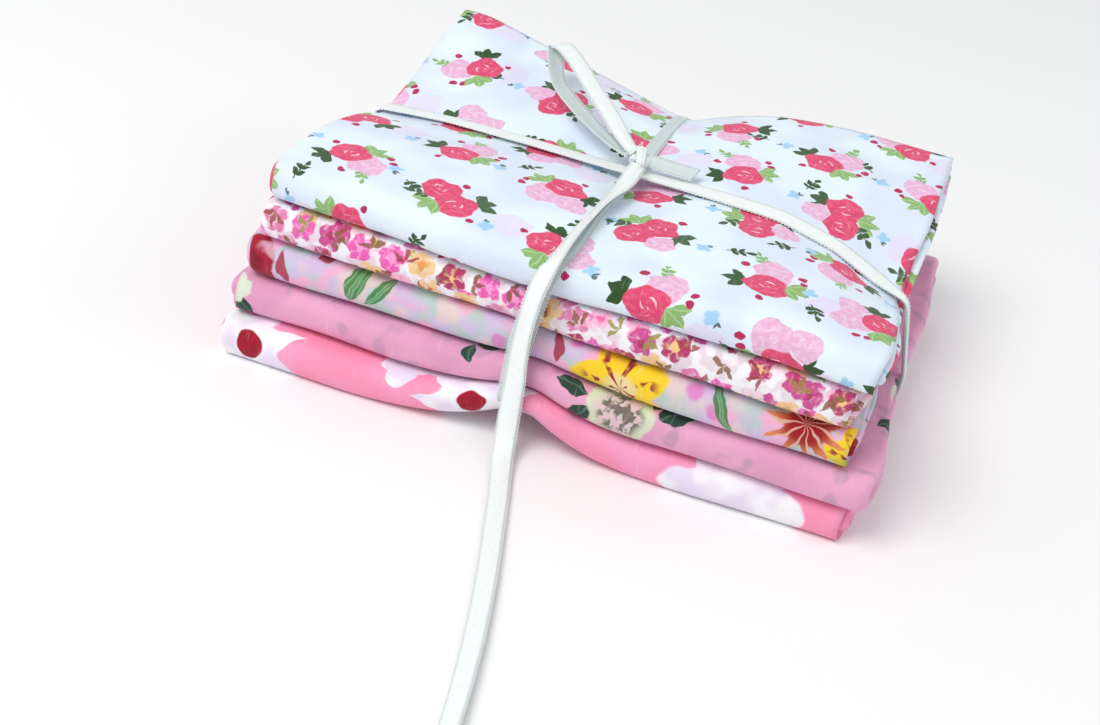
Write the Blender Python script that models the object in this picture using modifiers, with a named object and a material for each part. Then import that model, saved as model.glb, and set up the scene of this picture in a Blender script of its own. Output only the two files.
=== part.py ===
"""Stack of five folded fat quarters tied crosswise with one narrow ribbon.

X runs along the longer folded side, -Y is the front with the rounded folds, Z is up.
The origin is on the surface under the middle of the stack. All sizes are in metres.
"""
from collections import namedtuple
from math import atan2, cos, exp, pi, radians, sin

import bmesh
import bpy
from mathutils import Vector

MM = 0.001

# A fat quarter of 0.559 x 0.457 folded in four each way
FOLDED_LENGTH = 0.140
FOLDED_WIDTH = 0.114
STACK_HEIGHT = 0.048
QUARTER_GAP = 0.0010
PASS_GAP = 0.0005
PASSES = 4
QUARTERS_IN_STACK = 5
QUARTER_HEIGHT = (STACK_HEIGHT - (QUARTERS_IN_STACK - 1) * QUARTER_GAP) / QUARTERS_IN_STACK
PASS_THICKNESS = (QUARTER_HEIGHT - (PASSES - 1) * PASS_GAP) / PASSES
PASS_PITCH = PASS_THICKNESS + PASS_GAP

# Rounding of the big fold that shows in front, and of the small folds inside it
FRONT_FOLD_DEPTH = 0.0040
FRONT_FOLD_ROUNDNESS = 2.6
FRONT_FOLD_STEPS = 8
SMALL_FOLD_STEPS = 4
FOLD_WAVE = 0.0005
LONG_WAVE = 0.017
SHORT_WAVE = 0.0074
SHORT_WAVE_SHARE = 0.6
WAVE_EDGE_POWER = 4
TOP_END_INSET = 0.0006
INNER_END_INSET = 0.0022
INNER_FOLD_SPARE = 1.4
STAGGER_PHASE = 2.1

RIBBON_WIDTH = 0.005
RIBBON_THICKNESS = 0.001
RIBBON_CLEARANCE = 0.0006
BAND_CORNER_STEP = 24
BAND_LONGEST_SPAN = 0.014
BAND_SHORTEST_SPAN = 0.0004
CROSSING_HALF = 0.55 * RIBBON_WIDTH
SKIN_STEPS_FOLD = 12
SKIN_STEPS_Y = 18
SKIN_STEPS_X = 14

# Middle of the box round the tied stack, before it is moved over the origin
BOX_MIDDLE_X = 0.0
BOX_MIDDLE_Y = -0.0034

# Plan lines of the two ribbon runs: position at the middle, and slope
LONG_RUN_Y = -0.0015
LONG_RUN_SLOPE = -0.10
SHORT_RUN_TOP_X = -0.0009
SHORT_RUN_TOP_SLOPE = -0.018
SHORT_RUN_BOTTOM_X = -0.0028
SHORT_RUN_BOTTOM_SLOPE = 0.012

# Half width of the level strip of cloth under a ribbon
LEVEL_HALF = 0.0030

# How far the ribbon's pull on the top reaches: the flat slopes are left and back of the knot
FLAT_REACH_LONG = 0.049
FLAT_REACH_SHORT = 0.060
FLAT_POWER = 1.15
ROUND_REACH = 0.068
ROUND_POWER = 3.0
SAG_BLEND = 3.0
SAG_HEIGHT_POWER = 1.6
BACK_LEFT_RISE = 0.0012
BACK_LEFT_SPREAD = 0.022
BACK_RIGHT_FALL = 0.0010
BACK_RIGHT_SPREAD = 0.040

# How far the ribbon lifts the underside, at its middle and more towards the stack's edges
LONG_LIFT_MIDDLE = 0.0017
LONG_LIFT_END = 0.0062
SHORT_LIFT_MIDDLE = 0.0032
SHORT_LIFT_END = 0.0052
LIFT_END_X = 0.078
LIFT_END_Y = 0.062
LIFT_FADE = 0.018
LIFT_REACH_MIDDLE = 0.011
LIFT_REACH_END = 0.024
LIFT_POWER = 2.4
LIFT_BLEND = 4.0
LIFT_HEIGHT_POWER = 2.5

# How far the ribbon draws the stack's sides in
SIDE_DRAWN_IN = 0.0014
FACE_DRAWN_IN = 0.0012
DRAWN_REACH = 0.030
DRAWN_POWER = 2.0
DRAWN_EDGE_POWER = 5
DRAWN_EDGE_LIMIT = 1.1

Quarter = namedtuple("Quarter", "name left right forward turn stagger wave colour")
QUARTERS = (
    Quarter("quarter_1_rosebuds", -0.0700, 0.0700, 0.0000, 0.0, 0.0012, 0.3, (0.78, 0.88, 0.93)),
    Quarter("quarter_2_ditsy", -0.0722, 0.0705, 0.0006, 0.2, 0.0016, 1.9, (0.86, 0.48, 0.66)),
    Quarter("quarter_3_garden", -0.0750, 0.0738, 0.0010, 0.4, 0.0022, 3.1, (0.70, 0.65, 0.76)),
    Quarter("quarter_4_cream_roses", -0.0776, 0.0785, 0.0026, 1.2, 0.0030, 4.6, (0.74, 0.37, 0.58)),
    Quarter("quarter_5_coral", -0.0785, 0.0745, 0.0040, 3.0, 0.0026, 5.7, (0.93, 0.32, 0.46)),
)
RIBBON_COLOUR = (0.82, 0.84, 0.78)

Sag = namedtuple("Sag", "along depth")
# How far the top is drawn down under the long run (along X) and the short run (along Y)
LONG_SAGS = (
    Sag(-0.080, 0.0108), Sag(-0.070, 0.0104), Sag(-0.050, 0.0076), Sag(-0.025, 0.0058),
    Sag(0.000, 0.0048), Sag(0.020, 0.0028), Sag(0.036, 0.0024), Sag(0.050, 0.0046),
    Sag(0.060, 0.0082), Sag(0.070, 0.0116), Sag(0.080, 0.0130),
)
SHORT_SAGS = (
    Sag(-0.066, 0.0040), Sag(-0.057, 0.0034), Sag(-0.045, 0.0030), Sag(-0.020, 0.0032),
    Sag(0.000, 0.0048), Sag(0.017, 0.0050), Sag(0.033, 0.0060), Sag(0.045, 0.0080),
    Sag(0.057, 0.0112), Sag(0.066, 0.0120),
)

SAG_EASING = 0.4

# Plan stations of the cloth between its ends: X, and Y before the long run's shift
STATIONS_X = (-0.061, -0.047, -0.034, -0.023, -0.013, "run", 0.008, 0.018, 0.033, 0.048, 0.059, 0.067)
STATIONS_Y = (-0.042, -0.028, -0.014, "run", 0.012, 0.024, 0.038, 0.049)
INNER_STATIONS_Y = (-0.036, -0.018, "run", 0.014, 0.030, 0.045)

Route = namedtuple("Route", "x y z side_x side_y side_z")
# The loose ends of the bow, in millimetres, with the direction of the ribbon's width
LOOP_ROUTE = (
    Route(-4.7, 4.3, 49.9, 0.77, 0.64, 0.00), Route(-9.8, 9.4, 50.9, 0.77, 0.62, 0.12),
    Route(-15.0, 15.6, 52.0, 0.77, 0.61, 0.18), Route(-21.2, 22.6, 53.2, 0.78, 0.58, 0.18),
    Route(-27.0, 29.6, 54.2, 0.83, 0.54, 0.12), Route(-31.8, 35.8, 54.9, 0.90, 0.43, 0.06),
    Route(-35.2, 40.0, 55.0, 0.95, 0.31, 0.00), Route(-37.6, 42.4, 53.8, 0.96, 0.27, 0.00),
    Route(-38.6, 41.8, 52.2, 0.96, 0.27, 0.00), Route(-37.6, 38.0, 51.2, 0.96, 0.27, 0.00),
    Route(-34.6, 31.6, 50.4, 0.94, 0.32, -0.06), Route(-31.0, 25.0, 49.5, 0.88, 0.44, -0.15),
    Route(-26.4, 19.4, 48.5, 0.78, 0.58, -0.24), Route(-20.9, 15.1, 47.7, 0.68, 0.68, -0.28),
    Route(-15.4, 10.8, 47.3, 0.62, 0.74, -0.26), Route(-10.2, 6.8, 47.3, 0.60, 0.78, -0.20),
    Route(-5.6, 2.9, 47.6, 0.60, 0.78, -0.10),
)
SHORT_TAIL_ROUTE = (
    Route(2.2, 1.6, 47.7, 0.0, 1.0, 0.00), Route(5.8, 1.7, 47.5, 0.03, 1.0, 0.02),
    Route(9.8, 1.5, 47.4, 0.08, 1.0, 0.05), Route(13.4, 0.9, 47.6, 0.20, 0.98, 0.06),
)
LONG_TAIL_ROUTE = (
    Route(-0.9, -4.4, 49.0, 1.0, 0.0, 0.10), Route(-0.7, -9.0, 49.5, 0.90, 0.0, 0.40),
    Route(-0.9, -15.0, 49.6, 0.78, 0.0, 0.62), Route(-1.2, -26.0, 49.5, 0.68, 0.0, 0.73),
    Route(-1.9, -38.0, 49.3, 0.68, 0.0, 0.73), Route(-2.4, -48.0, 49.2, 0.80, 0.0, 0.60),
    Route(-2.9, -55.0, 49.0, 0.94, 0.0, 0.34), Route(-3.3, -59.4, 46.8, 1.0, 0.0, 0.08),
    Route(-3.6, -60.9, 41.5, 1.0, 0.0, 0.0), Route(-4.4, -62.0, 31.0, 1.0, 0.0, 0.0),
    Route(-4.7, -63.3, 20.6, 1.0, 0.0, 0.0), Route(-4.7, -64.9, 11.0, 1.0, 0.0, 0.0),
    Route(-4.3, -67.3, 4.4, 1.0, 0.10, 0.0), Route(-2.7, -72.0, 1.2, 0.99, 0.16, 0.0),
    Route(0.6, -82.0, 0.8, 0.96, 0.27, 0.0), Route(5.6, -97.7, 0.8, 0.96, 0.27, 0.0),
    Route(9.7, -112.1, 0.8, 0.97, 0.26, 0.0), Route(13.2, -125.6, 0.8, 0.98, 0.22, 0.0),
    Route(16.0, -138.1, 1.1, 0.97, 0.20, 0.16), Route(17.7, -148.0, 1.2, 0.96, 0.16, 0.22),
    Route(19.0, -158.0, 1.0, 0.98, 0.14, 0.12),
)
WELD_DISTANCE = 0.00001
STEPS_PER_SPAN = 2
SHORT_TAIL_SLANT = 0.0012
LONG_TAIL_SLANT = 0.0016
KNOT_WAIST = 0.86
KNOT_MIDDLE = (-0.0012, 0.0006, 0.0495)
KNOT_SIZE = (0.0060, 0.0078, 0.0042)


def clear_scene():
    """Remove whatever the open scene holds."""
    for item in list(bpy.data.objects):
        bpy.data.objects.remove(item, do_unlink=True)


def material(name, colour, roughness):
    """A plain Principled material with one colour."""
    made = bpy.data.materials.new(name)
    made.use_nodes = True
    shader = made.node_tree.nodes["Principled BSDF"]
    shader.inputs["Base Color"].default_value = (*colour, 1.0)
    shader.inputs["Roughness"].default_value = roughness
    shader.inputs["Metallic"].default_value = 0.0
    return made


def table_value(rows, along):
    """Depth at a place along a table of sags, partly eased between its rows."""
    if along <= rows[0].along:
        return rows[0].depth
    for first, second in zip(rows, rows[1:]):
        if along <= second.along:
            part = (along - first.along) / (second.along - first.along)
            part += SAG_EASING * (part * part * (3.0 - 2.0 * part) - part)
            return first.depth + (second.depth - first.depth) * part
    return rows[-1].depth


def fade(distance, reach, power):
    """One beside the ribbon, falling to nothing at the reach."""
    beyond = max(0.0, abs(distance) - LEVEL_HALF)
    return max(0.0, 1.0 - beyond / reach) ** power


def long_run_y(x):
    """Plan line of the ribbon run along the stack."""
    return LONG_RUN_Y + LONG_RUN_SLOPE * x


def short_run_x(y, height=1.0):
    """Plan line of the ribbon run across the stack, at a share of its height."""
    top = SHORT_RUN_TOP_X + SHORT_RUN_TOP_SLOPE * y
    bottom = SHORT_RUN_BOTTOM_X + SHORT_RUN_BOTTOM_SLOPE * y
    return top * height + bottom * (1.0 - height)


def corner_bump(x, y, corner_x, spread):
    """A soft share that is one at a back corner of the top."""
    return exp(-((x - corner_x) ** 2 + (y - FOLDED_WIDTH / 2) ** 2) / spread ** 2)


def top_sag(x, y):
    """How far the ribbon draws the top surface down at a plan point."""
    beside_long = y - long_run_y(x)
    beside_short = x - short_run_x(y)
    if beside_long > 0 and x < 0:
        long_share = fade(beside_long, FLAT_REACH_LONG, FLAT_POWER)
    else:
        long_share = fade(beside_long, ROUND_REACH, ROUND_POWER)
    if beside_short < 0 and y > 0:
        short_share = fade(beside_short, FLAT_REACH_SHORT, FLAT_POWER)
    else:
        short_share = fade(beside_short, ROUND_REACH, ROUND_POWER)
    along = table_value(LONG_SAGS, x) * long_share
    across = table_value(SHORT_SAGS, y) * short_share
    both = (along ** SAG_BLEND + across ** SAG_BLEND) ** (1.0 / SAG_BLEND)
    rise = BACK_LEFT_RISE * corner_bump(x, y, -FOLDED_LENGTH / 2, BACK_LEFT_SPREAD)
    fall = BACK_RIGHT_FALL * corner_bump(x, y, FOLDED_LENGTH / 2, BACK_RIGHT_SPREAD)
    return both - rise + fall


def bottom_lift(x, y):
    """How far the ribbon lifts the underside at a plan point."""
    side_share = exp((abs(x) - LIFT_END_X) / LIFT_FADE)
    face_share = exp((abs(y) - LIFT_END_Y) / LIFT_FADE)
    along = LONG_LIFT_MIDDLE + LONG_LIFT_END * side_share
    across = SHORT_LIFT_MIDDLE + SHORT_LIFT_END * face_share
    long_reach = LIFT_REACH_MIDDLE + LIFT_REACH_END * side_share
    short_reach = LIFT_REACH_MIDDLE + LIFT_REACH_END * face_share
    along *= fade(y - long_run_y(x), long_reach, LIFT_POWER)
    across *= fade(x - short_run_x(y, 0.0), short_reach, LIFT_POWER)
    return (along ** LIFT_BLEND + across ** LIFT_BLEND) ** (1.0 / LIFT_BLEND)


def drawn_in(x, y):
    """How far the ribbon draws the sides in at a plan point, as (dx, dy)."""
    side = min(DRAWN_EDGE_LIMIT, abs(x) / (FOLDED_LENGTH / 2)) ** DRAWN_EDGE_POWER
    face = min(DRAWN_EDGE_LIMIT, abs(y) / (FOLDED_WIDTH / 2)) ** DRAWN_EDGE_POWER
    in_x = SIDE_DRAWN_IN * side * fade(y - long_run_y(x), DRAWN_REACH, DRAWN_POWER)
    in_y = FACE_DRAWN_IN * face * fade(x - short_run_x(y, 0.5), DRAWN_REACH, DRAWN_POWER)
    return (-in_x if x > 0 else in_x, -in_y if y > 0 else in_y)


def settle(x, y, z):
    """Place of a point of the flat, untied stack once the ribbon is drawn tight."""
    height = min(1.0, max(0.0, z / STACK_HEIGHT))
    sag = top_sag(x, y) * height ** SAG_HEIGHT_POWER
    lift = bottom_lift(x, y) * (1.0 - height) ** LIFT_HEIGHT_POWER
    in_x, in_y = drawn_in(x, y)
    return Vector((x + in_x - BOX_MIDDLE_X, y + in_y - BOX_MIDDLE_Y, z - sag + lift))


def quarter_base(index):
    """Height of the underside of a quarter in the untied stack; 0 is the top one."""
    return (QUARTERS_IN_STACK - 1 - index) * (QUARTER_HEIGHT + QUARTER_GAP)


def turned(quarter, x, y):
    """Plan point of a quarter after its small turn and forward step."""
    return (x, y + radians(quarter.turn) * x - quarter.forward)


def wave(quarter, x):
    """Small unevenness of the front fold along the quarter."""
    slow = sin(x / LONG_WAVE + quarter.wave)
    quick = sin(x / SHORT_WAVE + 2.0 * quarter.wave)
    return FOLD_WAVE * (slow + SHORT_WAVE_SHARE * quick)


FoldPoint = namedtuple("FoldPoint", "y z run reach")


def fold_path():
    """The cloth's path through its four passes, from the free top end to the inner one.

    Heights are from the middle of the quarter; run marks the points that keep beside the
    ribbon's line, and reach tells the pass, counted from the top.
    """
    heights = [PASS_PITCH * (1.5 - level) for level in range(PASSES)]
    front = -FOLDED_WIDTH / 2 + PASS_THICKNESS / 2 + FRONT_FOLD_DEPTH
    back = FOLDED_WIDTH / 2 - PASS_THICKNESS / 2 - PASS_PITCH / 2
    inner_depth = 1.5 * PASS_THICKNESS + INNER_FOLD_SPARE * PASS_GAP + PASS_PITCH / 2
    inner_front = -FOLDED_WIDTH / 2 + inner_depth
    path = []

    def add_pass(stations, z, level, forward):
        ordered = stations if forward else tuple(reversed(stations))
        for station in ordered:
            if station == "run":
                sides = (-LEVEL_HALF, LEVEL_HALF) if forward else (LEVEL_HALF, -LEVEL_HALF)
                for side in sides:
                    path.append(FoldPoint(side, z, True, level))
            else:
                path.append(FoldPoint(station, z, False, level))

    def add_turn(y, z_start, z_end, depth, steps, power, start_level, end_level):
        middle = (z_start + z_end) / 2
        half = (z_start - z_end) / 2
        for step in range(steps + 1):
            angle = pi * step / steps
            out = abs(sin(angle)) ** (2.0 / power)
            rise = abs(cos(angle)) ** (2.0 / power) * (1 if cos(angle) >= 0 else -1)
            level = start_level + (end_level - start_level) * step / steps
            path.append(FoldPoint(y + depth * out, middle + half * rise, False, level))

    path.append(FoldPoint(FOLDED_WIDTH / 2 - TOP_END_INSET, heights[0], False, 0))
    add_pass(STATIONS_Y, heights[0], 0, False)
    add_turn(front, heights[0], heights[3], -FRONT_FOLD_DEPTH, FRONT_FOLD_STEPS,
             FRONT_FOLD_ROUNDNESS, 0, 3)
    add_pass(STATIONS_Y, heights[3], 3, True)
    add_turn(back, heights[3], heights[2], PASS_PITCH / 2, SMALL_FOLD_STEPS, 2.0, 3, 2)
    add_pass(INNER_STATIONS_Y, heights[2], 2, False)
    add_turn(inner_front, heights[2], heights[1], -PASS_PITCH / 2, SMALL_FOLD_STEPS, 2.0, 2, 1)
    add_pass(INNER_STATIONS_Y, heights[1], 1, True)
    path.append(FoldPoint(FOLDED_WIDTH / 2 - INNER_END_INSET, heights[1], False, 1))
    return path


def quarter_columns(quarter):
    """Plan X of the quarter's columns; both columns of the run keep beside the ribbon."""
    columns = [("end", quarter.left)]
    for station in STATIONS_X:
        if station == "run":
            columns.append(("run", -LEVEL_HALF))
            columns.append(("run", LEVEL_HALF))
        else:
            columns.append(("plain", station))
    columns.append(("end", quarter.right))
    return columns


def grid_mesh(columns, rows, place):
    """A grid of vertices, each put where place(column, row) says, as a bmesh."""
    grid = bmesh.new()
    bmesh.ops.create_grid(grid, x_segments=columns - 1, y_segments=rows - 1, size=1.0)
    for vertex in grid.verts:
        column = round((vertex.co.x + 1.0) / 2.0 * (columns - 1))
        row = round((vertex.co.y + 1.0) / 2.0 * (rows - 1))
        vertex.co = place(column, row)
    return grid


def add_object(name, mesh, collection, made):
    """Put a mesh into the scene as one named part with its material."""
    mesh.materials.clear()
    mesh.materials.append(made)
    part = bpy.data.objects.new(name, mesh)
    collection.objects.link(part)
    return part


def thickened(name, grid, thickness, collection, made):
    """A grid made solid by Solidify, as an object whose modifier is applied."""
    bmesh.ops.recalc_face_normals(grid, faces=grid.faces)
    mesh = bpy.data.meshes.new(name + "_sheet")
    grid.to_mesh(mesh)
    grid.free()
    sheet = add_object(name + "_sheet", mesh, collection, made)
    solid = sheet.modifiers.new("Solidify", "SOLIDIFY")
    solid.thickness = thickness
    solid.offset = 0.0
    solid.use_even_offset = True
    bpy.context.view_layer.update()
    evaluated = sheet.evaluated_get(bpy.context.evaluated_depsgraph_get())
    applied = bpy.data.meshes.new_from_object(evaluated)
    applied.name = name
    bpy.data.objects.remove(sheet, do_unlink=True)
    return add_object(name, applied, collection, made)


def build_quarter(index, quarter, collection):
    """One fat quarter: a nested back-and-forth fold, drawn tight with the stack."""
    path = fold_path()
    columns = quarter_columns(quarter)
    middle_z = quarter_base(index) + QUARTER_HEIGHT / 2

    def place(column, row):
        point = path[row]
        kind, x = columns[column]
        y = point.y
        if kind == "run":
            x += short_run_x(point.y, (middle_z + point.z) / STACK_HEIGHT)
        elif kind == "end":
            step = quarter.stagger * (0.5 + 0.5 * cos(STAGGER_PHASE * point.reach + quarter.wave))
            x -= step if x > 0 else -step
        run_shift = long_run_y(x) - radians(quarter.turn) * x + quarter.forward
        y += run_shift if point.run else run_shift * max(0.0, 1.0 - abs(y) / (FOLDED_WIDTH / 2))
        return Vector((x, y, point.z))

    sheet = grid_mesh(len(columns), len(path), place)
    fabric = material(quarter.name + "_cotton", quarter.colour, 0.85)
    part = thickened(quarter.name, sheet, PASS_THICKNESS, collection, fabric)
    for vertex in part.data.vertices:
        x, y, z = vertex.co
        front_share = max(0.0, -y / (FOLDED_WIDTH / 2)) ** WAVE_EDGE_POWER
        plan_x, plan_y = turned(quarter, x, y + wave(quarter, x) * front_share)
        vertex.co = settle(plan_x, plan_y, middle_z + z)
    return part


def hull_of(points):
    """Convex hull of flat points, counterclockwise."""
    ordered = sorted(set(points))

    def half(sequence):
        chain = []
        for point in sequence:
            while len(chain) > 1:
                (ax, ay), (bx, by) = chain[-2], chain[-1]
                if (bx - ax) * (point[1] - ay) - (by - ay) * (point[0] - ax) > 1e-12:
                    break
                chain.pop()
            chain.append(point)
        return chain[:-1]

    return half(ordered) + half(list(reversed(ordered)))


def rounded_offset(hull, radius):
    """The hull moved outward by a radius, with its corners as arcs and its sides parted."""
    outline = []
    count = len(hull)
    for index, (x, y) in enumerate(hull):
        before = hull[index - 1]
        after = hull[(index + 1) % count]
        start = atan2(y - before[1], x - before[0]) - pi / 2
        end = atan2(after[1] - y, after[0] - x) - pi / 2
        while end < start:
            end += 2 * pi
        steps = max(1, round((end - start) / radians(BAND_CORNER_STEP)))
        for step in range(steps + 1):
            angle = start + (end - start) * step / steps
            outline.append((x + radius * cos(angle), y + radius * sin(angle)))
    spaced = [outline[0]]
    for x, y in outline[1:]:
        last_x, last_y = spaced[-1]
        length = ((x - last_x) ** 2 + (y - last_y) ** 2) ** 0.5
        if length < BAND_SHORTEST_SPAN:
            continue
        pieces = max(1, round(length / BAND_LONGEST_SPAN))
        for piece in range(1, pieces + 1):
            part = piece / pieces
            spaced.append((last_x + (x - last_x) * part, last_y + (y - last_y) * part))
    return spaced


def skin_across(line_x):
    """Points (y, z) of the tied stack's skin along the run across it."""
    points = []
    for index, quarter in enumerate(QUARTERS):
        base = quarter_base(index)
        x = line_x(0.0, (base + QUARTER_HEIGHT / 2) / STACK_HEIGHT)
        rounding = FRONT_FOLD_DEPTH + PASS_THICKNESS / 2
        half = QUARTER_HEIGHT / 2
        for step in range(SKIN_STEPS_FOLD + 1):
            angle = pi * step / SKIN_STEPS_FOLD
            out = sin(angle) ** (2.0 / FRONT_FOLD_ROUNDNESS)
            rise = abs(cos(angle)) ** (2.0 / FRONT_FOLD_ROUNDNESS) * (1 if cos(angle) >= 0 else -1)
            y = -FOLDED_WIDTH / 2 + rounding - rounding * out + wave(quarter, x)
            points.append((x, turned(quarter, x, y)[1], base + half + half * rise))
        for step in range(SKIN_STEPS_Y + 1):
            y = FOLDED_WIDTH * (step / SKIN_STEPS_Y - 0.5)
            if y > -FOLDED_WIDTH / 2 + rounding:
                points.append((x, turned(quarter, x, y)[1], base))
                points.append((x, turned(quarter, x, y)[1], base + QUARTER_HEIGHT))
    settled = [settle(line_x(y, z / STACK_HEIGHT), y, z) for x, y, z in points]
    return [(point.y, point.z) for point in settled]


def skin_along():
    """Points (x, z) of the tied stack's skin along the run along it."""
    settled = []
    for index, quarter in enumerate(QUARTERS):
        base = quarter_base(index)
        for step in range(SKIN_STEPS_X + 1):
            x = quarter.left + (quarter.right - quarter.left) * step / SKIN_STEPS_X
            settled.append(settle(x, long_run_y(x), base))
            settled.append(settle(x, long_run_y(x), base + QUARTER_HEIGHT))
    return [(point.x, point.z) for point in settled]


def ribbon_band(name, centres, sides, collection, made):
    """A closed ribbon band through centre points, with its width along the sides."""
    count = len(centres)

    def place(column, row):
        index = row % count
        return centres[index] + sides[index] * (RIBBON_WIDTH * (column - 0.5))

    grid = grid_mesh(2, count + 1, place)
    bmesh.ops.remove_doubles(grid, verts=grid.verts, dist=WELD_DISTANCE)
    return thickened(name, grid, RIBBON_THICKNESS, collection, made)


def top_height(centres, x):
    """Height of the upper side of a closed run over a plan X."""
    highest = 0.0
    for index, point in enumerate(centres):
        before = centres[index - 1]
        if (before.x - x) * (point.x - x) <= 0.0 and before.x != point.x:
            part = (x - before.x) / (point.x - before.x)
            highest = max(highest, before.z + (point.z - before.z) * part)
    return highest


def build_wraps(collection, made):
    """The two runs of the ribbon that hold the stack, each closed round it."""
    offset = RIBBON_CLEARANCE + RIBBON_THICKNESS / 2
    side = Vector((-LONG_RUN_SLOPE, 1.0, 0.0)).normalized()
    centres = []
    for x, z in rounded_offset(hull_of(skin_along()), offset):
        y = long_run_y(x + BOX_MIDDLE_X) - BOX_MIDDLE_Y
        centres.append(Vector((x, y, z)))
    ribbon_band("ribbon_wrap_long", centres, [side] * len(centres), collection, made)

    skin = skin_across(short_run_x)
    crossing = settle(short_run_x(0.0), long_run_y(0.0), STACK_HEIGHT)
    for place in (-CROSSING_HALF, CROSSING_HALF):
        over_long = top_height(centres, crossing.x + place) + RIBBON_THICKNESS / 2
        skin.append((crossing.y + place, over_long))
    centres = []
    for y, z in rounded_offset(hull_of(skin), offset):
        x = short_run_x(y + BOX_MIDDLE_Y, z / STACK_HEIGHT) - BOX_MIDDLE_X
        centres.append(Vector((x, y, z)))
    across = [Vector((1.0, 0.0, 0.0))] * len(centres)
    ribbon_band("ribbon_wrap_short", centres, across, collection, made)


def smooth_rows(rows):
    """Points of a Catmull-Rom curve through the rows, in every column."""
    smooth = []
    for index in range(len(rows) - 1):
        before = rows[max(index - 1, 0)]
        start, end = rows[index], rows[index + 1]
        after = rows[min(index + 2, len(rows) - 1)]
        for step in range(STEPS_PER_SPAN):
            t = step / STEPS_PER_SPAN
            smooth.append(Route(*[
                0.5 * (2 * b + (c - a) * t + (2 * a - 5 * b + 4 * c - d) * t * t
                       + (3 * b - a - 3 * c + d) * t ** 3)
                for a, b, c, d in zip(before, start, end, after)]))
    smooth.append(rows[-1])
    return smooth


def ribbon_strip(name, rows, slant, collection, made):
    """A loose end of the ribbon along its rows; slant cuts its far end at an angle."""
    smooth = smooth_rows(rows)
    centres = [Vector(row[:3]) * MM for row in smooth]
    count = len(smooth)

    def place(column, row):
        centre = centres[row]
        ahead = (centres[min(row + 1, count - 1)] - centres[max(row - 1, 0)]).normalized()
        side = Vector(smooth[row][3:])
        side = (side - ahead * side.dot(ahead)).normalized()
        point = centre + side * (RIBBON_WIDTH * (column - 0.5))
        if row == count - 1:
            point += ahead * slant * (column - 0.5)
        return point - Vector((BOX_MIDDLE_X, BOX_MIDDLE_Y, 0.0))

    grid = grid_mesh(2, count, place)
    return thickened(name, grid, RIBBON_THICKNESS, collection, made)


def build_knot(collection, made):
    """The small knot on the crossing: a rounded cage, a little narrower at its waist."""
    cage = bmesh.new()
    bmesh.ops.create_cube(cage, size=1.0)
    bmesh.ops.subdivide_edges(cage, edges=cage.edges, cuts=1, use_grid_fill=True)
    for vertex in cage.verts:
        vertex.co = Vector((vertex.co.x * KNOT_SIZE[0], vertex.co.y * KNOT_SIZE[1],
                            vertex.co.z * KNOT_SIZE[2]))
        if abs(vertex.co.y) < KNOT_SIZE[1] / 4:
            vertex.co.x *= KNOT_WAIST
    mesh = bpy.data.meshes.new("bow_knot")
    cage.to_mesh(mesh)
    cage.free()
    knot = add_object("bow_knot", mesh, collection, made)
    knot.location = Vector(KNOT_MIDDLE) - Vector((BOX_MIDDLE_X, BOX_MIDDLE_Y, 0.0))
    smoothing = knot.modifiers.new("Subdivision", "SUBSURF")
    smoothing.levels = 1
    smoothing.render_levels = 1
    knot.data.shade_smooth()


def build():
    """Build the stack and its ribbon in one collection."""
    clear_scene()
    collection = bpy.data.collections.new("tied_fat_quarters")
    bpy.context.scene.collection.children.link(collection)
    for index, quarter in enumerate(QUARTERS):
        build_quarter(index, quarter, collection)
    satin = material("ribbon_satin", RIBBON_COLOUR, 0.35)
    build_wraps(collection, satin)
    build_knot(collection, satin)
    ribbon_strip("bow_loop", LOOP_ROUTE, 0.0, collection, satin)
    ribbon_strip("short_tail", SHORT_TAIL_ROUTE, SHORT_TAIL_SLANT, collection, satin)
    ribbon_strip("long_tail", LONG_TAIL_ROUTE, LONG_TAIL_SLANT, collection, satin)


build()
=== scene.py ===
"""Stack of five folded fat quarters tied crosswise with one narrow satin ribbon.

X runs along the longer folded side, -Y is the front with the rounded folds, Z is up. The
origin is on the surface under the middle of the stack. All sizes are in metres, except that
the charts of the prints and the rows of the ribbon's routes are in millimetres.
"""
from collections import namedtuple
from math import atan2, cos, pi, radians, sin

import bmesh
import bpy
import numpy as np
from bpy.props import FloatProperty, FloatVectorProperty, PointerProperty
from bpy.types import Operator, Panel, PropertyGroup
from mathutils import Matrix, Vector


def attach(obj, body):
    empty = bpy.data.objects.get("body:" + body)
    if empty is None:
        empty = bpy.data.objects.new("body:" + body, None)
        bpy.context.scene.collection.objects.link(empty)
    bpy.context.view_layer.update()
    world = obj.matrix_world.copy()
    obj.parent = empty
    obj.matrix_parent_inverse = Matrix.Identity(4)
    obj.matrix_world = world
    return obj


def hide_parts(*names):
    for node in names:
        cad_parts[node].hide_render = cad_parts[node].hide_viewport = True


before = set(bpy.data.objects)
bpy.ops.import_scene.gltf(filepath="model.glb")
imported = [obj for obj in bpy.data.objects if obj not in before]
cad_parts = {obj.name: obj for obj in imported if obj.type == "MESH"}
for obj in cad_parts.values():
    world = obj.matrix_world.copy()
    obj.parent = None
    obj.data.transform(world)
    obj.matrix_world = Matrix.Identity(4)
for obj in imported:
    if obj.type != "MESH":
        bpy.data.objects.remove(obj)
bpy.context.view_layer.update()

bl_info = {
    "name": "Tied Fat Quarters",
    "version": (1, 0, 0),
    "blender": (4, 5, 0),
    "location": "View3D > Sidebar > Fat Quarters",
    "description": "Builds a stack of folded fat quarters tied with a satin ribbon",
    "category": "Add Mesh",
}

BODY = "root"
MM = 0.001

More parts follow.
